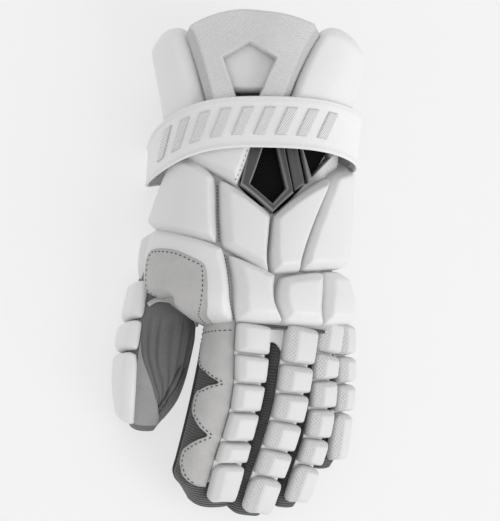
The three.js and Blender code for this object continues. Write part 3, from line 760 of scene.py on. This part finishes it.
# dark mesh, so the gaps between the pads and the cuff's pieces show dark: in part a dark liner, in part a dark
# sheet standing in for the shade there
shellHalf("back_shell", -shell["seam"], shell["seam"], "dark_mesh")
shellHalf("palm_shell", shell["seam"] + shell["slit"], 360 - shell["seam"] - shell["slit"], "grey_leather")
print("hand shell made")

# pads on the back of the hand
handPad = dict(height=12.0, wall=0.36, edge=1.7, rounding=0.05)
# the last share is painted shade on the pads' sloping edges
handLook = dict(fill=0.85, ripple=0.22, toneAndShade=0.3)
# the knuckle pad's finger end arches over the thumb, with a leg beside it
kneeEnd = [[0, -103, -0.134, 0], [0.15, -99, -0.137, 0], [0.28, -90, -0.139, 0], [0.36, -84, -0.144, 0],
           [0.42, -81, -0.152, 0], [0.47, -80, -0.166, -2], [0.52, -79, -0.188, -8], [0.57, -78, -0.215, -18],
           [0.62, -77, -0.24, -25], [0.7, -75, -0.263, -20], [0.8, -72, -0.262, -10], [1, -64, -0.26, 0]]
kneeBow = {"right": 10, "low": kneeEnd}
# corners as [turn, share of the back's length] from the cuff's left, clockwise; bow; then the widths of the
# sloping edges and the millimetres beyond the corners, both as left, right, cuff end, finger end
handPads = {
    "wrist_pad_thumb": (
        [-71, 0.522], [-30, 0.4], [-27, 0.1], [-101, 0.215], {"top": 0.025}, (7, 5, 5, 6), (1, 0.6, 1, 1.8)),
    "wrist_pad_middle": (
        [-27, 0.395], [1, 0.243], [-1, -0.02], [-23.5, 0.088], {}, (6, 5, 6, 6), (0.8, 3.0, 1.6, 1.8)),
    "wrist_pad_outer": (
        [4, 0.236], [47.5, 0.435], [16.5, -0.015], [2, -0.03], {}, (5, 4, 6, 6), (3.1, 1.4, 1.4, 0.4)),
    "wrist_pad_side": (
        [49.5, 0.447], [98, 0.55], [92, 0.05], [18.5, -0.013], {}, (4, 12, 6, 6), (1.4, 1, 1, 0.4)),
    "cuff_base_pad": (
        [-52, 0.63], [-3, 0.63], [-15, 0.375], [-57, 0.502], {}, (6, 5, 5, 6), (1, 1.4, 1, 1.6)),
    "knuckle_pad_thumb": (
        [-88, 0.19], [-23, 0.07], [-66, -0.264], [-102, -0.145], kneeBow, (6, 6, 5, 5), (1, 0.5, 1.8, 0.5)),
    "knuckle_pad_middle": (
        [-20, 0.04], [1, -0.04], [-15, -0.248], [-61, -0.256], {"left": -10}, (6,) * 4, (0.8, 1.5, 1.8, 1.2)),
    "knuckle_pad_outer": (
        [3.5, -0.055], [37, -0.01], [14, -0.245], [-12.5, -0.25], {"right": 3}, (6,) * 4,
        (1.5, 1.4, 1.8, 1.2)),
    "knuckle_pad_side": (
        [39, -0.008], [92, 0.03], [78, -0.205], [16, -0.245], {"left": -3}, (5, 15, 6, 6), (1.4, 1, 1.8, 1)),
    "thumb_base_pad": (
        [-130, 0.185], [-91, 0.185], [-103, -0.04], [-130, -0.04], {}, (6, 6, 5, 5), (1, 1, 1, 3.5)),
}
padsByName = {}
for order, (name, (*corners, bow, bevels, grow)) in enumerate(handPads.items()):
    padsByName[name] = Pad(hand, corners, bow, bevels=bevels, grow=grow, **handPad)
    padsByName[name].build(name, (56, 56), seed=1.7 * order, **handLook)
print("hand pads made")

# suede patch on the knuckle pad beside the thumb, with its row of stitches
# its corners, the bow of its right side and the ring of stitches are places on that pad
patch = dict(thick=0.9, edge=0.9, lift=0.15, tl=(-0.6, -0.42), tr=(0.47, -0.42), br=(0.53, 0.985),
             bl=(-0.7, 0.985), swing=-0.04, round=0.065, size=(44, 46), rim=22, count=60,
             seam=(-0.86, 0.94, 0.85))
kneePad = padsByName["knuckle_pad_thumb"]


def patchAt(a, b, thick=1.0):
    s, t = (a + 1) / 2, (b + 1) / 2
    u, v = (blend(blend(patch["tl"][k], patch["tr"][k], s), blend(patch["bl"][k], patch["br"][k], s), t)
            for k in range(2))
    # its two corners on the cuff side are round
    cuffEnd = smooth(0.3, -1, b)
    u = u + patch["swing"] * arch(t) * s - patch["round"] * a * np.abs(b) ** 6 * cuffEnd
    v = v + patch["round"] * np.abs(a) ** 6 * cuffEnd
    sides = [quarter((1 - np.abs(q)) * size / 2 / patch["edge"]) for q, size in zip((a, b), patch["size"])]
    return kneePad.at(u, v, patch["lift"] + patch["thick"] * sides[0] * sides[1] * thick)


b, a = np.meshgrid(edgeLines(patch["count"]), edgeLines(patch["count"]), indexing="ij")
addSkin("knuckle_patch", patchAt(a, b), patchAt(a, b, 0.0), lensFaces, "grey_suede",
        rim=np.exp(-np.minimum(1 - np.abs(a), 1 - np.abs(b)) * patch["rim"]))
seamTop, seamEnd, seamSide = patch["seam"]
edgeRun = np.linspace(seamTop, seamEnd, 60)
ringA = np.concatenate([np.full(60, -seamSide), np.linspace(-seamSide, seamSide, 60), np.full(60, seamSide)])
ringB = np.concatenate([edgeRun[::-1], np.full(60, seamTop), edgeRun])
stitches("patch_stitches", patchAt(ringA, ringB), normalsOf(patchAt, ringA, ringB))
print("suede patch made")

# white base that the hand pads are sewn to, over the dark shell
base = dict(turn=104.0, start=-0.262, end=0.6, lift=0.1, thick=0.7, shade=1.7, wide=70, long=60)
v, u = np.meshgrid(np.linspace(-1, 1, base["long"]), np.linspace(-1, 1, base["wide"]), indexing="ij")
phi, along = np.radians(base["turn"]) * u, blend(base["end"], base["start"], (v + 1) / 2)
# painted shade between the pads, over the grey of the seam strips there; none where the base shows beside the
# vent
shade = base["shade"] * (1 - smooth(52, 60, base["turn"] * u) * smooth(0.4, 0.44, along))
addSkin("back_base", hand.at(phi, along, base["lift"] + base["thick"]), hand.at(phi, along, base["lift"]),
        slabFaces, "white_leather", rim=shade)

# stitches on the base beside the right edge of two pads, and on the pad under the cuff
seam = dict(out=1.1, lift=0.9, end=0.92, count=80, cuffSide=0.84, cuffEnd=0.9)
across = np.full(seam["count"], seam["cuffSide"])
along = np.linspace(-seam["cuffEnd"], seam["cuffEnd"], seam["count"])


def seamRow(name, pad):
    run = np.linspace(-seam["end"], seam["end"], seam["count"])
    wide = float(pad.reach(np.zeros(1), np.zeros(1))[0][0])
    place = lambda p, q: hand.at(*pad.spot(p, q), seam["lift"])
    across = np.full(seam["count"], 1 + 2 * (pad.grow[1] + seam["out"]) / wide)
    stitches(name, place(across, run), normalsOf(place, across, run), "white_leather", 2.4, 1.5, 0.4)


seamRow("seam_wrist_thumb", padsByName["wrist_pad_thumb"])
basePad = padsByName["cuff_base_pad"].at
stitches("seam_cuff_base", basePad(across, along), normalsOf(basePad, across, along), "white_leather",
         radius=0.35)
seamRow("seam_knuckle_thumb", padsByName["knuckle_pad_thumb"])
print("base and seams made")

# fingers: ribbed stalls, white webs, foam pads and leather undersides
fingerPad = dict(base=2.1, height=8.0, wall=0.5, edge=1.3, grow=(0.3,) * 4, crown=0.5)
# the last share is painted shade on the pads' sloping edges
fingerLook = dict(fill=0.9, ripple=0.1, toneAndShade=0.75)
# gap between two pads, rounding of a pad and of the last one, whose end bows out
fingerRow = dict(gap=1.1, rounding=0.07, lastRounding=0.16, bow=0.012)
overlay = (glove["gap"], glove["gap"] + glove["overlay"])
# station and the turns of the pads' left and right edges there; the index finger's are its narrowest halfway
padEdges = {
    "index": [[-0.02, -33, 20], [0.1, -31, 23], [0.22, -24, 25], [0.38, -19, 25], [0.54, -20.5, 20],
              [0.68, -25, 16], [0.85, -27, 12], [0.9, -30, 11], [0.96, -35, 9]],
    "middle": [[-0.1, -31, 25], [1, -31, 25]],
    "ring": [[-0.1, -32, 32], [1, -32, 32]],
    "pinky": [[-0.1, -28, 33], [1, -28, 33]],
}
# last end of the pads, their starts along the finger, widths of the sloping edges
fingerPads = {
    "index": (0.96, [-0.02, 0.15, 0.302, 0.458, 0.62, 0.742], (4.0, 3.5, 3.0, 3.5)),
    "middle": (0.985, [-0.022, 0.183, 0.333, 0.484, 0.636, 0.782], (5.5, 2.5, 4.0, 2.5)),
    "ring": (0.97, [-0.085, 0.11, 0.268, 0.428, 0.594, 0.744], (5.5, 2.5, 4.0, 2.5)),
    "pinky": (0.95, [-0.11, 0.146, 0.358, 0.574], (5.0, 2.5, 4.0, 2.5)),
}


def padEdge(name, along):
    return np.moveaxis(columnsAt(np.array(padEdges[name], float), np.asarray(along, float)), -1, 0)


def tubePiece(name, limb, finish, lift=None, shade=None, tip=3.5, rows=90, around=96):
    # rings round a limb; past the end they shrink as a quarter circle whose depth is `tip`
    phi, along = np.meshgrid(np.arange(around) * 2 * math.pi / around, np.linspace(0, 1, rows))
    rings = limb.at(phi, along, lift(phi, along) if lift else 0.0)
    middle = rings[-1].mean(0)
    ahead = unit(middle - rings[-8].mean(0))
    turn = np.linspace(0, math.pi / 2, 9)[1:-1, None, None]
    cap = middle + (rings[-1] - middle) * np.cos(turn) + ahead * tip * np.sin(turn)
    cap[..., 2] = np.maximum(cap[..., 2], rings[-1][..., 2].min())
    rings = np.concatenate([rings, cap])
    points = np.concatenate([rings.reshape(-1, 3), [rings[0].mean(0), middle + ahead * tip]])
    down = lengthAlong(rings.mean(1))
    flat = np.stack(np.meshgrid(np.arange(around) / around * 110.0, down), -1).reshape(-1, 2)
    flat = np.concatenate([flat, [[0, 0], [0, down[-1]]]])
    rim = np.zeros(len(points))
    if shade:
        rim[:phi.size] = shade(phi, along).ravel()
    marks = {"rim": rim, "hatch": np.zeros(len(points))}
    addPiece(name, points, tubeFaces(*rings.shape[:2]), finish, flat=flat, marks=marks)


def sheetOn(name, limb, phi, run, offsets, finish, slot=None, rim=None):
    # sheet on a limb between two offsets, over arrays of directions and stations
    low, top = (limb.at(phi, run, offset) for offset in offsets)
    addSkin(name, top, low, slabFaces, finish, slot, rim=rim)


def grid(rows, cols, start=0.0, stop=1.0):
    # stations from start to stop down the rows, and shares from 0 to 1 across
    return np.meshgrid(np.linspace(start, stop, rows), np.linspace(0, 1, cols), indexing="ij")


for order, (name, (end, starts, bevels)) in enumerate(fingerPads.items()):
    limb = fingers[name]
    length = fingerTable[name][4] * fingerSize["length"]
    tubePiece(f"{name}_stall", limb, "dark_mesh")
    run, share = grid(60, 24, starts[0], (starts[-1] + end) / 2)
    left, right = padEdge(name, run)
    phi = blend(limb.bearing(left - 1.0, run), limb.bearing(right + 1.0, run), share)
    # the web, seen only in the gaps between the pads, is greyed evenly: painted shade there
    sheetOn(f"{name}_web", limb, phi, run, overlay, "white_leather", rim=np.full(run.shape, 0.25))
    run, share = grid(60, 30, 0.0, 0.985)
    phi = blend(limb.bearing(138, run), limb.bearing(222, run), share)
    rim = np.exp(-np.minimum(share, 1 - share) * 25 / 1.2)
    sheetOn(f"{name}_palm", limb, phi, run, overlay, "grey_leather", rim=rim)
    for i, start in enumerate(starts):
        last = i == len(starts) - 1
        top, stop = start + glove["gap"] / length, end if last else starts[i + 1] - fingerRow["gap"] / length
        (topLeft, topRight), (lowLeft, lowRight) = padEdge(name, top), padEdge(name, stop)
        corners = ([topLeft, top], [topRight, top], [lowRight, stop], [lowLeft, stop])
        pad = Pad(limb, corners, {"bottom": fingerRow["bow"] if last else 0.0}, bevels=bevels,
                  rounding=fingerRow["lastRounding" if last else "rounding"], **fingerPad)
        pad.build(f"{name}_pad_{i + 1}", (34, 34), hatched=name != "index", seed=2.1 * i + order,
                  **fingerLook)

# white leather between two neighbouring fingers at their root; the dark side of the finger starts below it
fork = dict(start=-0.07, sag=1.5, thick=0.9, rise=1.9, root=3.2, arch=0.25)
# turns and ends on the finger at its left and the one at its right
forks = {
    "index_middle": (("index", 16, 0.115), ("middle", -33, 0.125)),
    "middle_ring": (("middle", 26, 0.13), ("ring", -34, 0.12)),
    "ring_pinky": (("ring", 33, 0.12), ("pinky", -30, 0.13)),
}
t, share = grid(36, 30)
run, rise = t * (1 - fork["arch"] * arch(share)), fork["rise"] + fork["root"] * (1 - t) ** 3
for name, both in forks.items():
    sides = [fingers[finger].turned(turn, blend(fork["start"], end, run), rise) for finger, turn, end in both]
    top = blend(sides[0], sides[1], share[..., None])
    top[..., 2] -= fork["sag"] * arch(share)
    # greyer towards its end between the two fingers: painted shade in the crotch
    addSkin(f"fork_{name}", top, top - np.array([0, 0, fork["thick"]]), slabFaces, "white_leather",
            rim=0.5 * np.exp(-(1 - t) * 14))
print("fingers made")

# suede side panel of the index finger: three lobes along its outer edge, stitched just inside it
panel = dict(gap=1.6, inset=2.8, low=0.3, high=1.6, stitch=1.65)
# along, left turn; the panel is widest in the middle of each lobe, and a notch runs in between two of them
panelEdge = np.array([
    [-0.04, -142], [0.1, -138], [0.19, -124], [0.245, -104], [0.282, -76], [0.312, -50], [0.342, -74],
    [0.385, -94], [0.45, -98], [0.52, -91], [0.565, -70], [0.602, -49], [0.638, -68], [0.69, -89], [0.76, -94],
    [0.82, -86], [0.86, -64], [0.88, -44],
])
index = fingers["index"]


def panelPhi(share, t):
    run = blend(panelEdge[0, 0], panelEdge[-1, 0], t)
    left = columnsAt(panelEdge, run)[..., 0]
    right = padEdge("index", run)[0] - panel["gap"]
    return blend(index.bearing(left, run), index.bearing(right, run), share), run


t, share = grid(240, 34)
phi, run = panelPhi(share, t)
rim = np.exp(-np.minimum(share * 22, (1 - share) * 30)) + np.exp(-np.minimum(t, 1 - t) * 100)
sheetOn("index_panel", index, phi, run, (panel["low"], panel["high"]), "grey_suede", rim=np.clip(rim, 0, 1))


def panelPlace(share, t):
    phi, run = panelPhi(share, t)
    return index.at(phi, run, panel["stitch"])


edge = np.linspace(0.012, 0.985, 500)
wide = np.linalg.norm(panelPlace(np.ones(500), edge) - panelPlace(np.zeros(500), edge), axis=-1)
lobeInset = np.clip(panel["inset"] / wide, 0, 0.45)
stitches("panel_stitches", panelPlace(lobeInset, edge), normalsOf(panelPlace, lobeInset, edge, 0.004))
across = np.linspace(0.08, 0.96, 60)
near = blend(0.1, 0.07, across)
stitches("panel_top_stitches", panelPlace(across, near), normalsOf(panelPlace, across, near, 0.004))
# piping beside the panel, whose end dives into the fingertip
piping = dict(start=0.1, end=0.985, turn=-131.0, radius=1.3, lift=0.8, dive=3.5, diveFrom=0.9)
run = np.linspace(piping["start"], piping["end"], 160)
phi = index.bearing(np.full(160, piping["turn"]), run)
dive = lambda q: piping["dive"] * smooth(piping["diveFrom"], piping["end"], q)
place = lambda p, q: index.at(p, q, piping["lift"] - dive(q))
cord("index_piping", place(phi, run), normalsOf(place, phi, run, 0.002), piping["radius"], "dark_piping_and_slot_shade",
     "dark_mesh")
print("index panel made")

# thumb: pleated leather stall, a paler panel with its seam, and foam pads along the outside
thumbShape = dict(pleats=1.0, count=5.5, slit=1.4, tip=2.0, perTurn=0.38)
# along, turn of the paler panel's seam, turn where the pleats end, turns of the two slits
thumbLines = np.array([
    [0.2, -52, 56, 60, 66], [0.42, -50, 54, 48, 60], [0.525, -46.5, 54, 38, 54], [0.608, -38, 52, 30, 46],
    [0.697, -20, 44, 21, 36], [0.773, -5, 34, 15, 25.5], [0.829, 3, 28, 10, 19], [0.886, 13, 24, 5, 15.5],
    [0.93, 25, 34, 4, 14], [0.985, 40, 50, 4, 14],
])


def thumbMarks(phi, along):
    # pleats run between the seam and the far side and narrow towards the tip; two slits cut across them
    turn = thumb.turnAt(phi, along)
    seam, far, first, second = np.moveaxis(columnsAt(thumbLines, along), -1, 0)
    share = (turn - seam) / np.maximum(far - seam, 6)
    inside = smooth(0.02, 0.2, share) * (1 - smooth(0.95, 1.15, share))
    inside = inside * smooth(0.3, 0.42, along) * (1 - smooth(0.86, 0.92, along))
    pleat = np.sin(2 * math.pi * thumbShape["count"] * share + 6 * (along - 0.5) ** 2)
    fine = np.sin(4.4 * math.pi * thumbShape["count"] * share + 9 * along)
    wave = (0.7 * pleat + 0.3 * fine) * inside
    cuts = sum(np.exp(-((turn - line) * thumbShape["perTurn"] / 0.8) ** 2) for line in (first, second))
    cuts = np.clip(cuts, 0, 1) * smooth(0.585, 0.63, along) * (1 - smooth(0.885, 0.9, along))
    return wave, inside, cuts


def thumbFolds(phi, along):
    # the pleats, the slits, and soft lobes near the hand; phi runs from 0 to a full turn
    wave, inside, cuts = thumbMarks(phi, along)
    around = phi - 2 * math.pi * (phi > math.pi)
    lobes = 0.7 * np.sin(24 * along + 2.5 * np.sin(phi)) * smooth(-1.2, -0.2, around)
    lobes = lobes * np.exp(-((along - 0.34) / 0.07) ** 2)
    return thumbShape["pleats"] * wave - thumbShape["slit"] * cuts + lobes


def thumbShade(phi, along):
    # painted shade in the troughs of the pleats and in the slits, and darker in the middle of the pleats
    wave, inside, cuts = thumbMarks(phi, along)
    middle = inside * np.exp(-((along - 0.6) / 0.22) ** 2) * 0.3
    return np.clip(middle + 0.3 * np.clip(-wave, 0, 1) + 1.6 * cuts, 0, 1.6)


tubePiece("thumb_stall", thumb, "grey_leather", thumbFolds, thumbShade, thumbShape["tip"], 230, 260)
thumbPad = dict(height=6.2, wall=0.45, edge=1.6, bevels=(7, 5, 4, 4), rounding=0.08, grow=(0.3,) * 4)
thumbPads = {
    "thumb_pad_1": ([-122, 0.17], [-60, 0.17], [-53, 0.395], [-122, 0.395]),
    "thumb_pad_2": ([-122, 0.41], [-53, 0.41], [-51, 0.575], [-122, 0.575]),
    "thumb_pad_3": ([-122, 0.59], [-51, 0.59], [-46, 0.97], [-122, 0.97]),
}
for order, (name, corners) in enumerate(thumbPads.items()):
    Pad(thumb, corners, **thumbPad).build(name, (48, 44), 0.85, ripple=0.12, seed=order)

# the paler panel between the pads and the seam: its stations, the turn under the pads, its offsets
thumbPanel = dict(start=0.528, end=0.97, turn=-48, low=-0.4, high=0.9)
t, share = grid(90, 40)
run = blend(thumbPanel["start"], thumbPanel["end"], t)
seamPhi = thumb.bearing(columnsAt(thumbLines, run)[..., 0], run)
phi = blend(thumb.bearing(thumbPanel["turn"], run), seamPhi, share)
sheetOn("thumb_panel", thumb, phi, run, (thumbPanel["low"], thumbPanel["high"]), "pale_leather",
        "grey_leather", np.exp(-(1 - share) * 24))
# hem of the thumb under the knuckle pad: a pale binding, a dark cord as painted shade in the slot, and a
# strap, as (turn, station) spots; radius, how flat it is, finish
hems = {
    "thumb_hem": ([(-46, 0.315), (-28, 0.277), (-4, 0.263), (10, 0.267)], 1.7, 0.7, "hem_leather"),
    "thumb_slot": ([(11, 0.268), (20, 0.277), (28, 0.292)], 1.9, 0.5, "dark_piping_and_slot_shade"),
    "thumb_strap": ([(29, 0.296), (42, 0.32), (57, 0.352)], 1.7, 0.6, "hem_leather"),
}
place = lambda p, q: thumb.at(p, q, 0.9)
for name, (spots, radius, squash, finish) in hems.items():
    rows = np.column_stack([np.linspace(0, 1, len(spots)), np.array(spots, float)])
    turn, run = columnsAt(rows, np.linspace(0, 1, 40)).T
    phi = thumb.bearing(turn, run)
    cord(name, place(phi, run), normalsOf(place, phi, run, 0.002), radius, finish, "grey_leather", squash)
print("thumb made")

# pieces cut from polygons of [turn, share of the back's length]
unrolled = 60  # millimetres on the drawing for a direction of one radian
def drawn(corners):
    # polygon in millimetres on the unrolled back
    corners = np.array(corners, float)
    turn, along = corners.T
    return np.stack([hand.bearing(turn, along) * unrolled, along * glove["back"]], -1)


def cross2(a, b):
    return a[..., 0] * b[..., 1] - a[..., 1] * b[..., 0]


def rays(polygon, centre, turns):
    # distance from the centre to the polygon in each direction
    p = polygon - centre
    q = np.roll(p, -1, 0)
    d = np.stack([np.cos(turns), np.sin(turns)], -1)[:, None]
    edge = (q - p)[None]
    down = cross2(d, edge)
    down = np.where(np.abs(down) < 1e-9, 1e-9, down)
    far = cross2(p[None], edge) / down
    share = cross2(p[None], d) / down
    good = (share > -1e-6) & (share < 1 + 1e-6) & (far > 0)
    return np.where(good, far, 1e9).min(1)


def toEdges(spots, polygon, closed=True):
    # least distance from every spot to the polygon's sides
    p, q = (polygon, np.roll(polygon, -1, 0)) if closed else (polygon[:-1], polygon[1:])
    edge = q - p
    away = spots[..., None, :] - p
    share = np.clip((away * edge).sum(-1) / (edge * edge).sum(-1), 0, 1)
    return np.linalg.norm(away - edge * share[..., None], axis=-1).min(-1)


def frameGrid(outline, window, count, lines):
    # spots between a window and an outline: directions include every corner, so corners stay sharp
    centre = window.mean(0)
    turns = [np.linspace(-math.pi, math.pi, count, endpoint=False)]
    for polygon in (outline, window):
        turns.append(np.arctan2(*(polygon - centre).T[::-1]))
    turns = np.unique(np.round(np.concatenate(turns), 5))
    near, far = rays(window, centre, turns), rays(outline, centre, turns)
    share = (edgeLines(lines) + 1)[:, None] / 2
    long = near + (far - near) * share
    return centre + np.stack([long * np.cos(turns), long * np.sin(turns)], -1)


def framePiece(name, outline, window, base, height, finish, count=220, lines=26, bevel=1.5, sides=(),
               edge=0.9, depth=0.0, wall=0.5, sideShade=0.0, line=0.0):
    # plate with a window; its height is a rounded wall times the soft least of its sloping edges
    outline, window = drawn(outline), drawn(window)
    spots = frameGrid(outline, window, count, lines)
    out, into = toEdges(spots, outline), toEdges(spots, window)
    beside = [(toEdges(spots, drawn(side), False), width) for side, width in sides]
    slopes = [out / bevel, into / bevel, np.ones_like(out)] + [far / width for far, width in beside]
    share = wall * quarter(out / edge) * quarter(into / edge)
    share = share + (1 - wall) * np.clip(softMin(slopes, 20), 0, None)
    phi, along = spots[..., 0] / unrolled, spots[..., 1] / glove["back"]
    # a line along the edges, `line` inside them, and painted shade on the facets beside the sides
    rim = np.exp(-((np.minimum(out, into) - line) / 0.8) ** 2)
    for far, width in beside:
        rim = rim + sideShade * (1 - smooth(width - 1.2, width + 0.6, far))
    addSkin(name, hand.at(phi, along, base + height * share), hand.at(phi, along, base - depth),
            lambda rows, cols: lensFaces(rows, cols, True), finish, flat=spots, rim=rim)


# vent: black net, a frame with a five-sided window and a three-sided one, and a slat between
vent = dict(base=2.0, depth=1.2, line=1.0)
v, u = grid(50, 50)
tl, tr, br, bl = np.array([[-6, 0.64], [56, 0.61], [4, 0.25], [-13, 0.37]], float)
turns, run = (blend(blend(tl[k], tr[k], u), blend(bl[k], br[k], u), v) for k in range(2))
sheetOn("vent_mesh", hand, hand.bearing(turns, run), run, (0.9, 1.9), "black_net")
# outline, window, height, bevel
ventFrames = {
    "vent_frame": ([[-5, 0.64], [-12.8, 0.372], [3, 0.25], [15.3, 0.345], [8, 0.64]],
                   [[0.5, 0.585], [-6.5, 0.38], [3, 0.295], [10.3, 0.365], [4.5, 0.585]], 5.6, 2.2),
    "vent_side": ([[18.5, 0.64], [26.5, 0.395], [54, 0.535], [50, 0.64]],
                  [[21.5, 0.585], [29.5, 0.43], [47, 0.525], [45, 0.585]], 5.0, 1.8),
}
for name, (outline, window, height, bevel) in ventFrames.items():
    framePiece(name, outline, window, vent["base"], height, "vent_grey", bevel=bevel, depth=vent["depth"],
               line=vent["line"])
slat = Pad(hand, ([9.5, 0.64], [17, 0.64], [25, 0.393], [16.8, 0.357]), base=1.2, height=3.4, wall=0.5,
           edge=0.8, bevels=(2, 2, 1, 1), rounding=0.02, crown=0.0)
slat.build("vent_slat", (30, 40), finish="vent_grey")
print("vent made")

# cuff: tongue, ribbed plate with its window, and two wings
cuff = dict(root=0.647, top=1.095, bulge=0.073, base=8.9, plate=5.5, fold=6.5)
tongue = Pad(hand, ([-42, 1.09], [23.5, 1.09], [4, 0.8], [-27, 0.8]), {"top": 0.02}, height=6.4, wall=0.5,
             edge=1.5, bevels=(3, 3, 3, 3), rounding=0.05, crown=-2.0)
tongue.build("cuff_tongue", (50, 50), 0.7, ripple=0.3, seed=4.0)
topRun = np.linspace(0, 1, 25)
topRise = cuff["bulge"] * (1 - np.abs(2 * topRun - 1) ** 1.6)
topEdge = np.stack([blend(-43, 23.5, topRun), cuff["top"] + topRise], -1)
topEdge[0], topEdge[-1] = [-41.5, 1.088], [22, 1.088]
plateSides = [np.array([[-44.5, 1.055], [-30.5, cuff["root"]]]), np.array([[25, 1.055], [7, cuff["root"]]])]
plateOutline = np.concatenate([plateSides[0][:1], topEdge, plateSides[1], plateSides[0][1:]])
plateWindow = [[-6.5, 1.012], [-20, 0.948], [-12.5, 0.745], [-3.2, 0.745], [3, 0.94]]
# its facets beside the two sides are darkened: painted shade where they fold down
framePiece("cuff_plate", plateOutline, plateWindow, cuff["base"], cuff["plate"], "silver_weave", count=300,
           lines=40, bevel=1.6, sides=[(side, cuff["fold"]) for side in plateSides], wall=0.3, edge=1.0,
           sideShade=1.3)
wing = dict(height=13.0, wall=0.4, edge=2.6, rounding=0.09, crown=0.8, hardness=9.0)
wings = {
    "wing_left": ([-90, 1.0], [-44.5, 1.09], [-30, 0.647], [-87, 0.647], {"top": 0.06}, (9, 8, 9, 6)),
    "wing_right": ([25, 1.09], [70, 0.98], [64, 0.647], [7, 0.647], {"top": 0.055, "right": 4}, (7, 7, 8, 6)),
}
for order, (name, (*corners, bow, bevels)) in enumerate(wings.items()):
    Pad(hand, corners, bow, bevels=bevels, **wing).build(name, (70, 70), 0.8, ripple=0.25, seed=order + 0.5)
print("cuff made")

# wrist band: a closed loop; its section is a flat oval with bound edges
band = dict(around=360, lines=18, bind=0.5, edge=12, flat=1.1, seam=0.87)


def hill(value, middle, width):
    # bell curve
    return np.exp(-(((value - middle) / width) ** 2))


def bandPlace(bearing, w, lift):
    # direction round the wrist in degrees, w across the band from the finger side to the cuff side, -1 to 1
    phi = np.radians(bearing)
    angle = hand.turnAt(phi, np.full(np.shape(phi), bandSize["at"] / glove["back"]))
    near = np.where(angle < 0, smooth(105, 150, -angle), smooth(60, 130, angle))
    thumbSide = hill(angle, -95, 45)
    middle = bandSize["at"] - bandSize["drop"] * (1 - np.cos(np.radians(angle))) / 2
    middle = middle - bandSize["sag"] * thumbSide - bandSize["dip"] * hill(angle, 85, 38)
    rise = blend(bandSize["rise"], glove["gap"], near) + thumbSide * (bandSize["flare"] + w) / 2
    # it is gathered where it turns under at the thumb side
    gather = 1 - bandSize["gather"] * hill(angle, -108, 26)
    along = (middle + (w * gather - 0.35 * (1 - gather)) * bandSize["width"] / 2) / glove["back"]
    point = hand.at(phi, along, rise + lift)
    point[..., 2] = np.maximum(point[..., 2], bandSize["thickness"] - lift)
    return point


angles = np.linspace(-180, 180, band["around"], endpoint=False)
w = edgeLines(band["lines"])
thick = bandSize["thickness"]
curve = quarter((1 - np.abs(w)) * band["edge"])
bound = band["bind"] * smooth(0.84, 0.9, np.abs(w))
outside, inside = thick * (0.55 + 0.45 * curve) + bound - band["bind"], thick * (0.5 - 0.5 * curve)
section = np.concatenate([np.stack([w, outside], -1), np.stack([w, inside], -1)[::-1]])
loop = bandPlace(angles[:, None], section[None, :, 0], section[None, :, 1])
ids = np.arange(loop.shape[0] * loop.shape[1]).reshape(loop.shape[:2])
ids = np.concatenate([ids, ids[:1]], 0)
ids = np.concatenate([ids, ids[:, :1]], 1)
flat = np.broadcast_arrays(angles[:, None] * band["flat"], section[None, :, 0] * bandSize["width"] / 2)
flat = np.stack(flat, -1).reshape(-1, 2)
rim = np.exp(-np.abs(np.abs(section[:, 0]) - band["seam"]) * bandSize["width"] / 2 / 0.7)
marks = {"rim": np.tile(rim, len(angles)), "hatch": np.zeros(ids[:-1, :-1].size)}
addPiece("wrist_band", loop.reshape(-1, 3), [gridFaces(ids)], "white_elastic", flat=flat, marks=marks)

# plain slanted bars, raised on the band at equal distances along it, in millimetres
bars = dict(first=-78.0, last=60.0, wide=7.5, lean=9.0, long=18, low=-0.5, high=0.58, rise=0.9, sunk=0.25,
            foot=0.6, count=9)
direction = np.linspace(bars["first"], bars["last"], 400)
runLength = lengthAlong(bandPlace(direction, np.zeros(400), thick))
barPoints, barFaces, barRim = [], [], []
q, p = np.meshgrid(edgeLines(16), edgeLines(12), indexing="ij")
rise = bars["rise"] * (quarter((1 - np.abs(p)) * 4) * quarter((1 - np.abs(q)) * 9))
rim = np.exp(-np.minimum((1 - np.abs(p)) * bars["wide"], (1 - np.abs(q)) * bars["long"]) / 1.2)
across = blend(bars["low"], bars["high"], (q + 1) / 2)
for order, centre in enumerate(np.linspace(bars["wide"], runLength[-1] - bars["wide"], bars["count"])):
    bearing = np.interp(centre + p * bars["wide"] / 2 + q * bars["lean"] / 2, runLength, direction)
    barPoints += [bandPlace(bearing, across, thick - bars["sunk"] + rise).reshape(-1, 3),
                  bandPlace(bearing, across, thick - bars["foot"]).reshape(-1, 3)]
    barFaces += [f + order * 2 * q.size for f in lensFaces(*q.shape)]
points = np.concatenate(barPoints)
marks = {"rim": np.tile(rim.ravel(), 2 * bars["count"]), "hatch": np.zeros(len(points))}
addPiece("band_bars", points, barFaces, "silver_weave", flat=points[:, :2], marks=marks)
print("wrist band made")
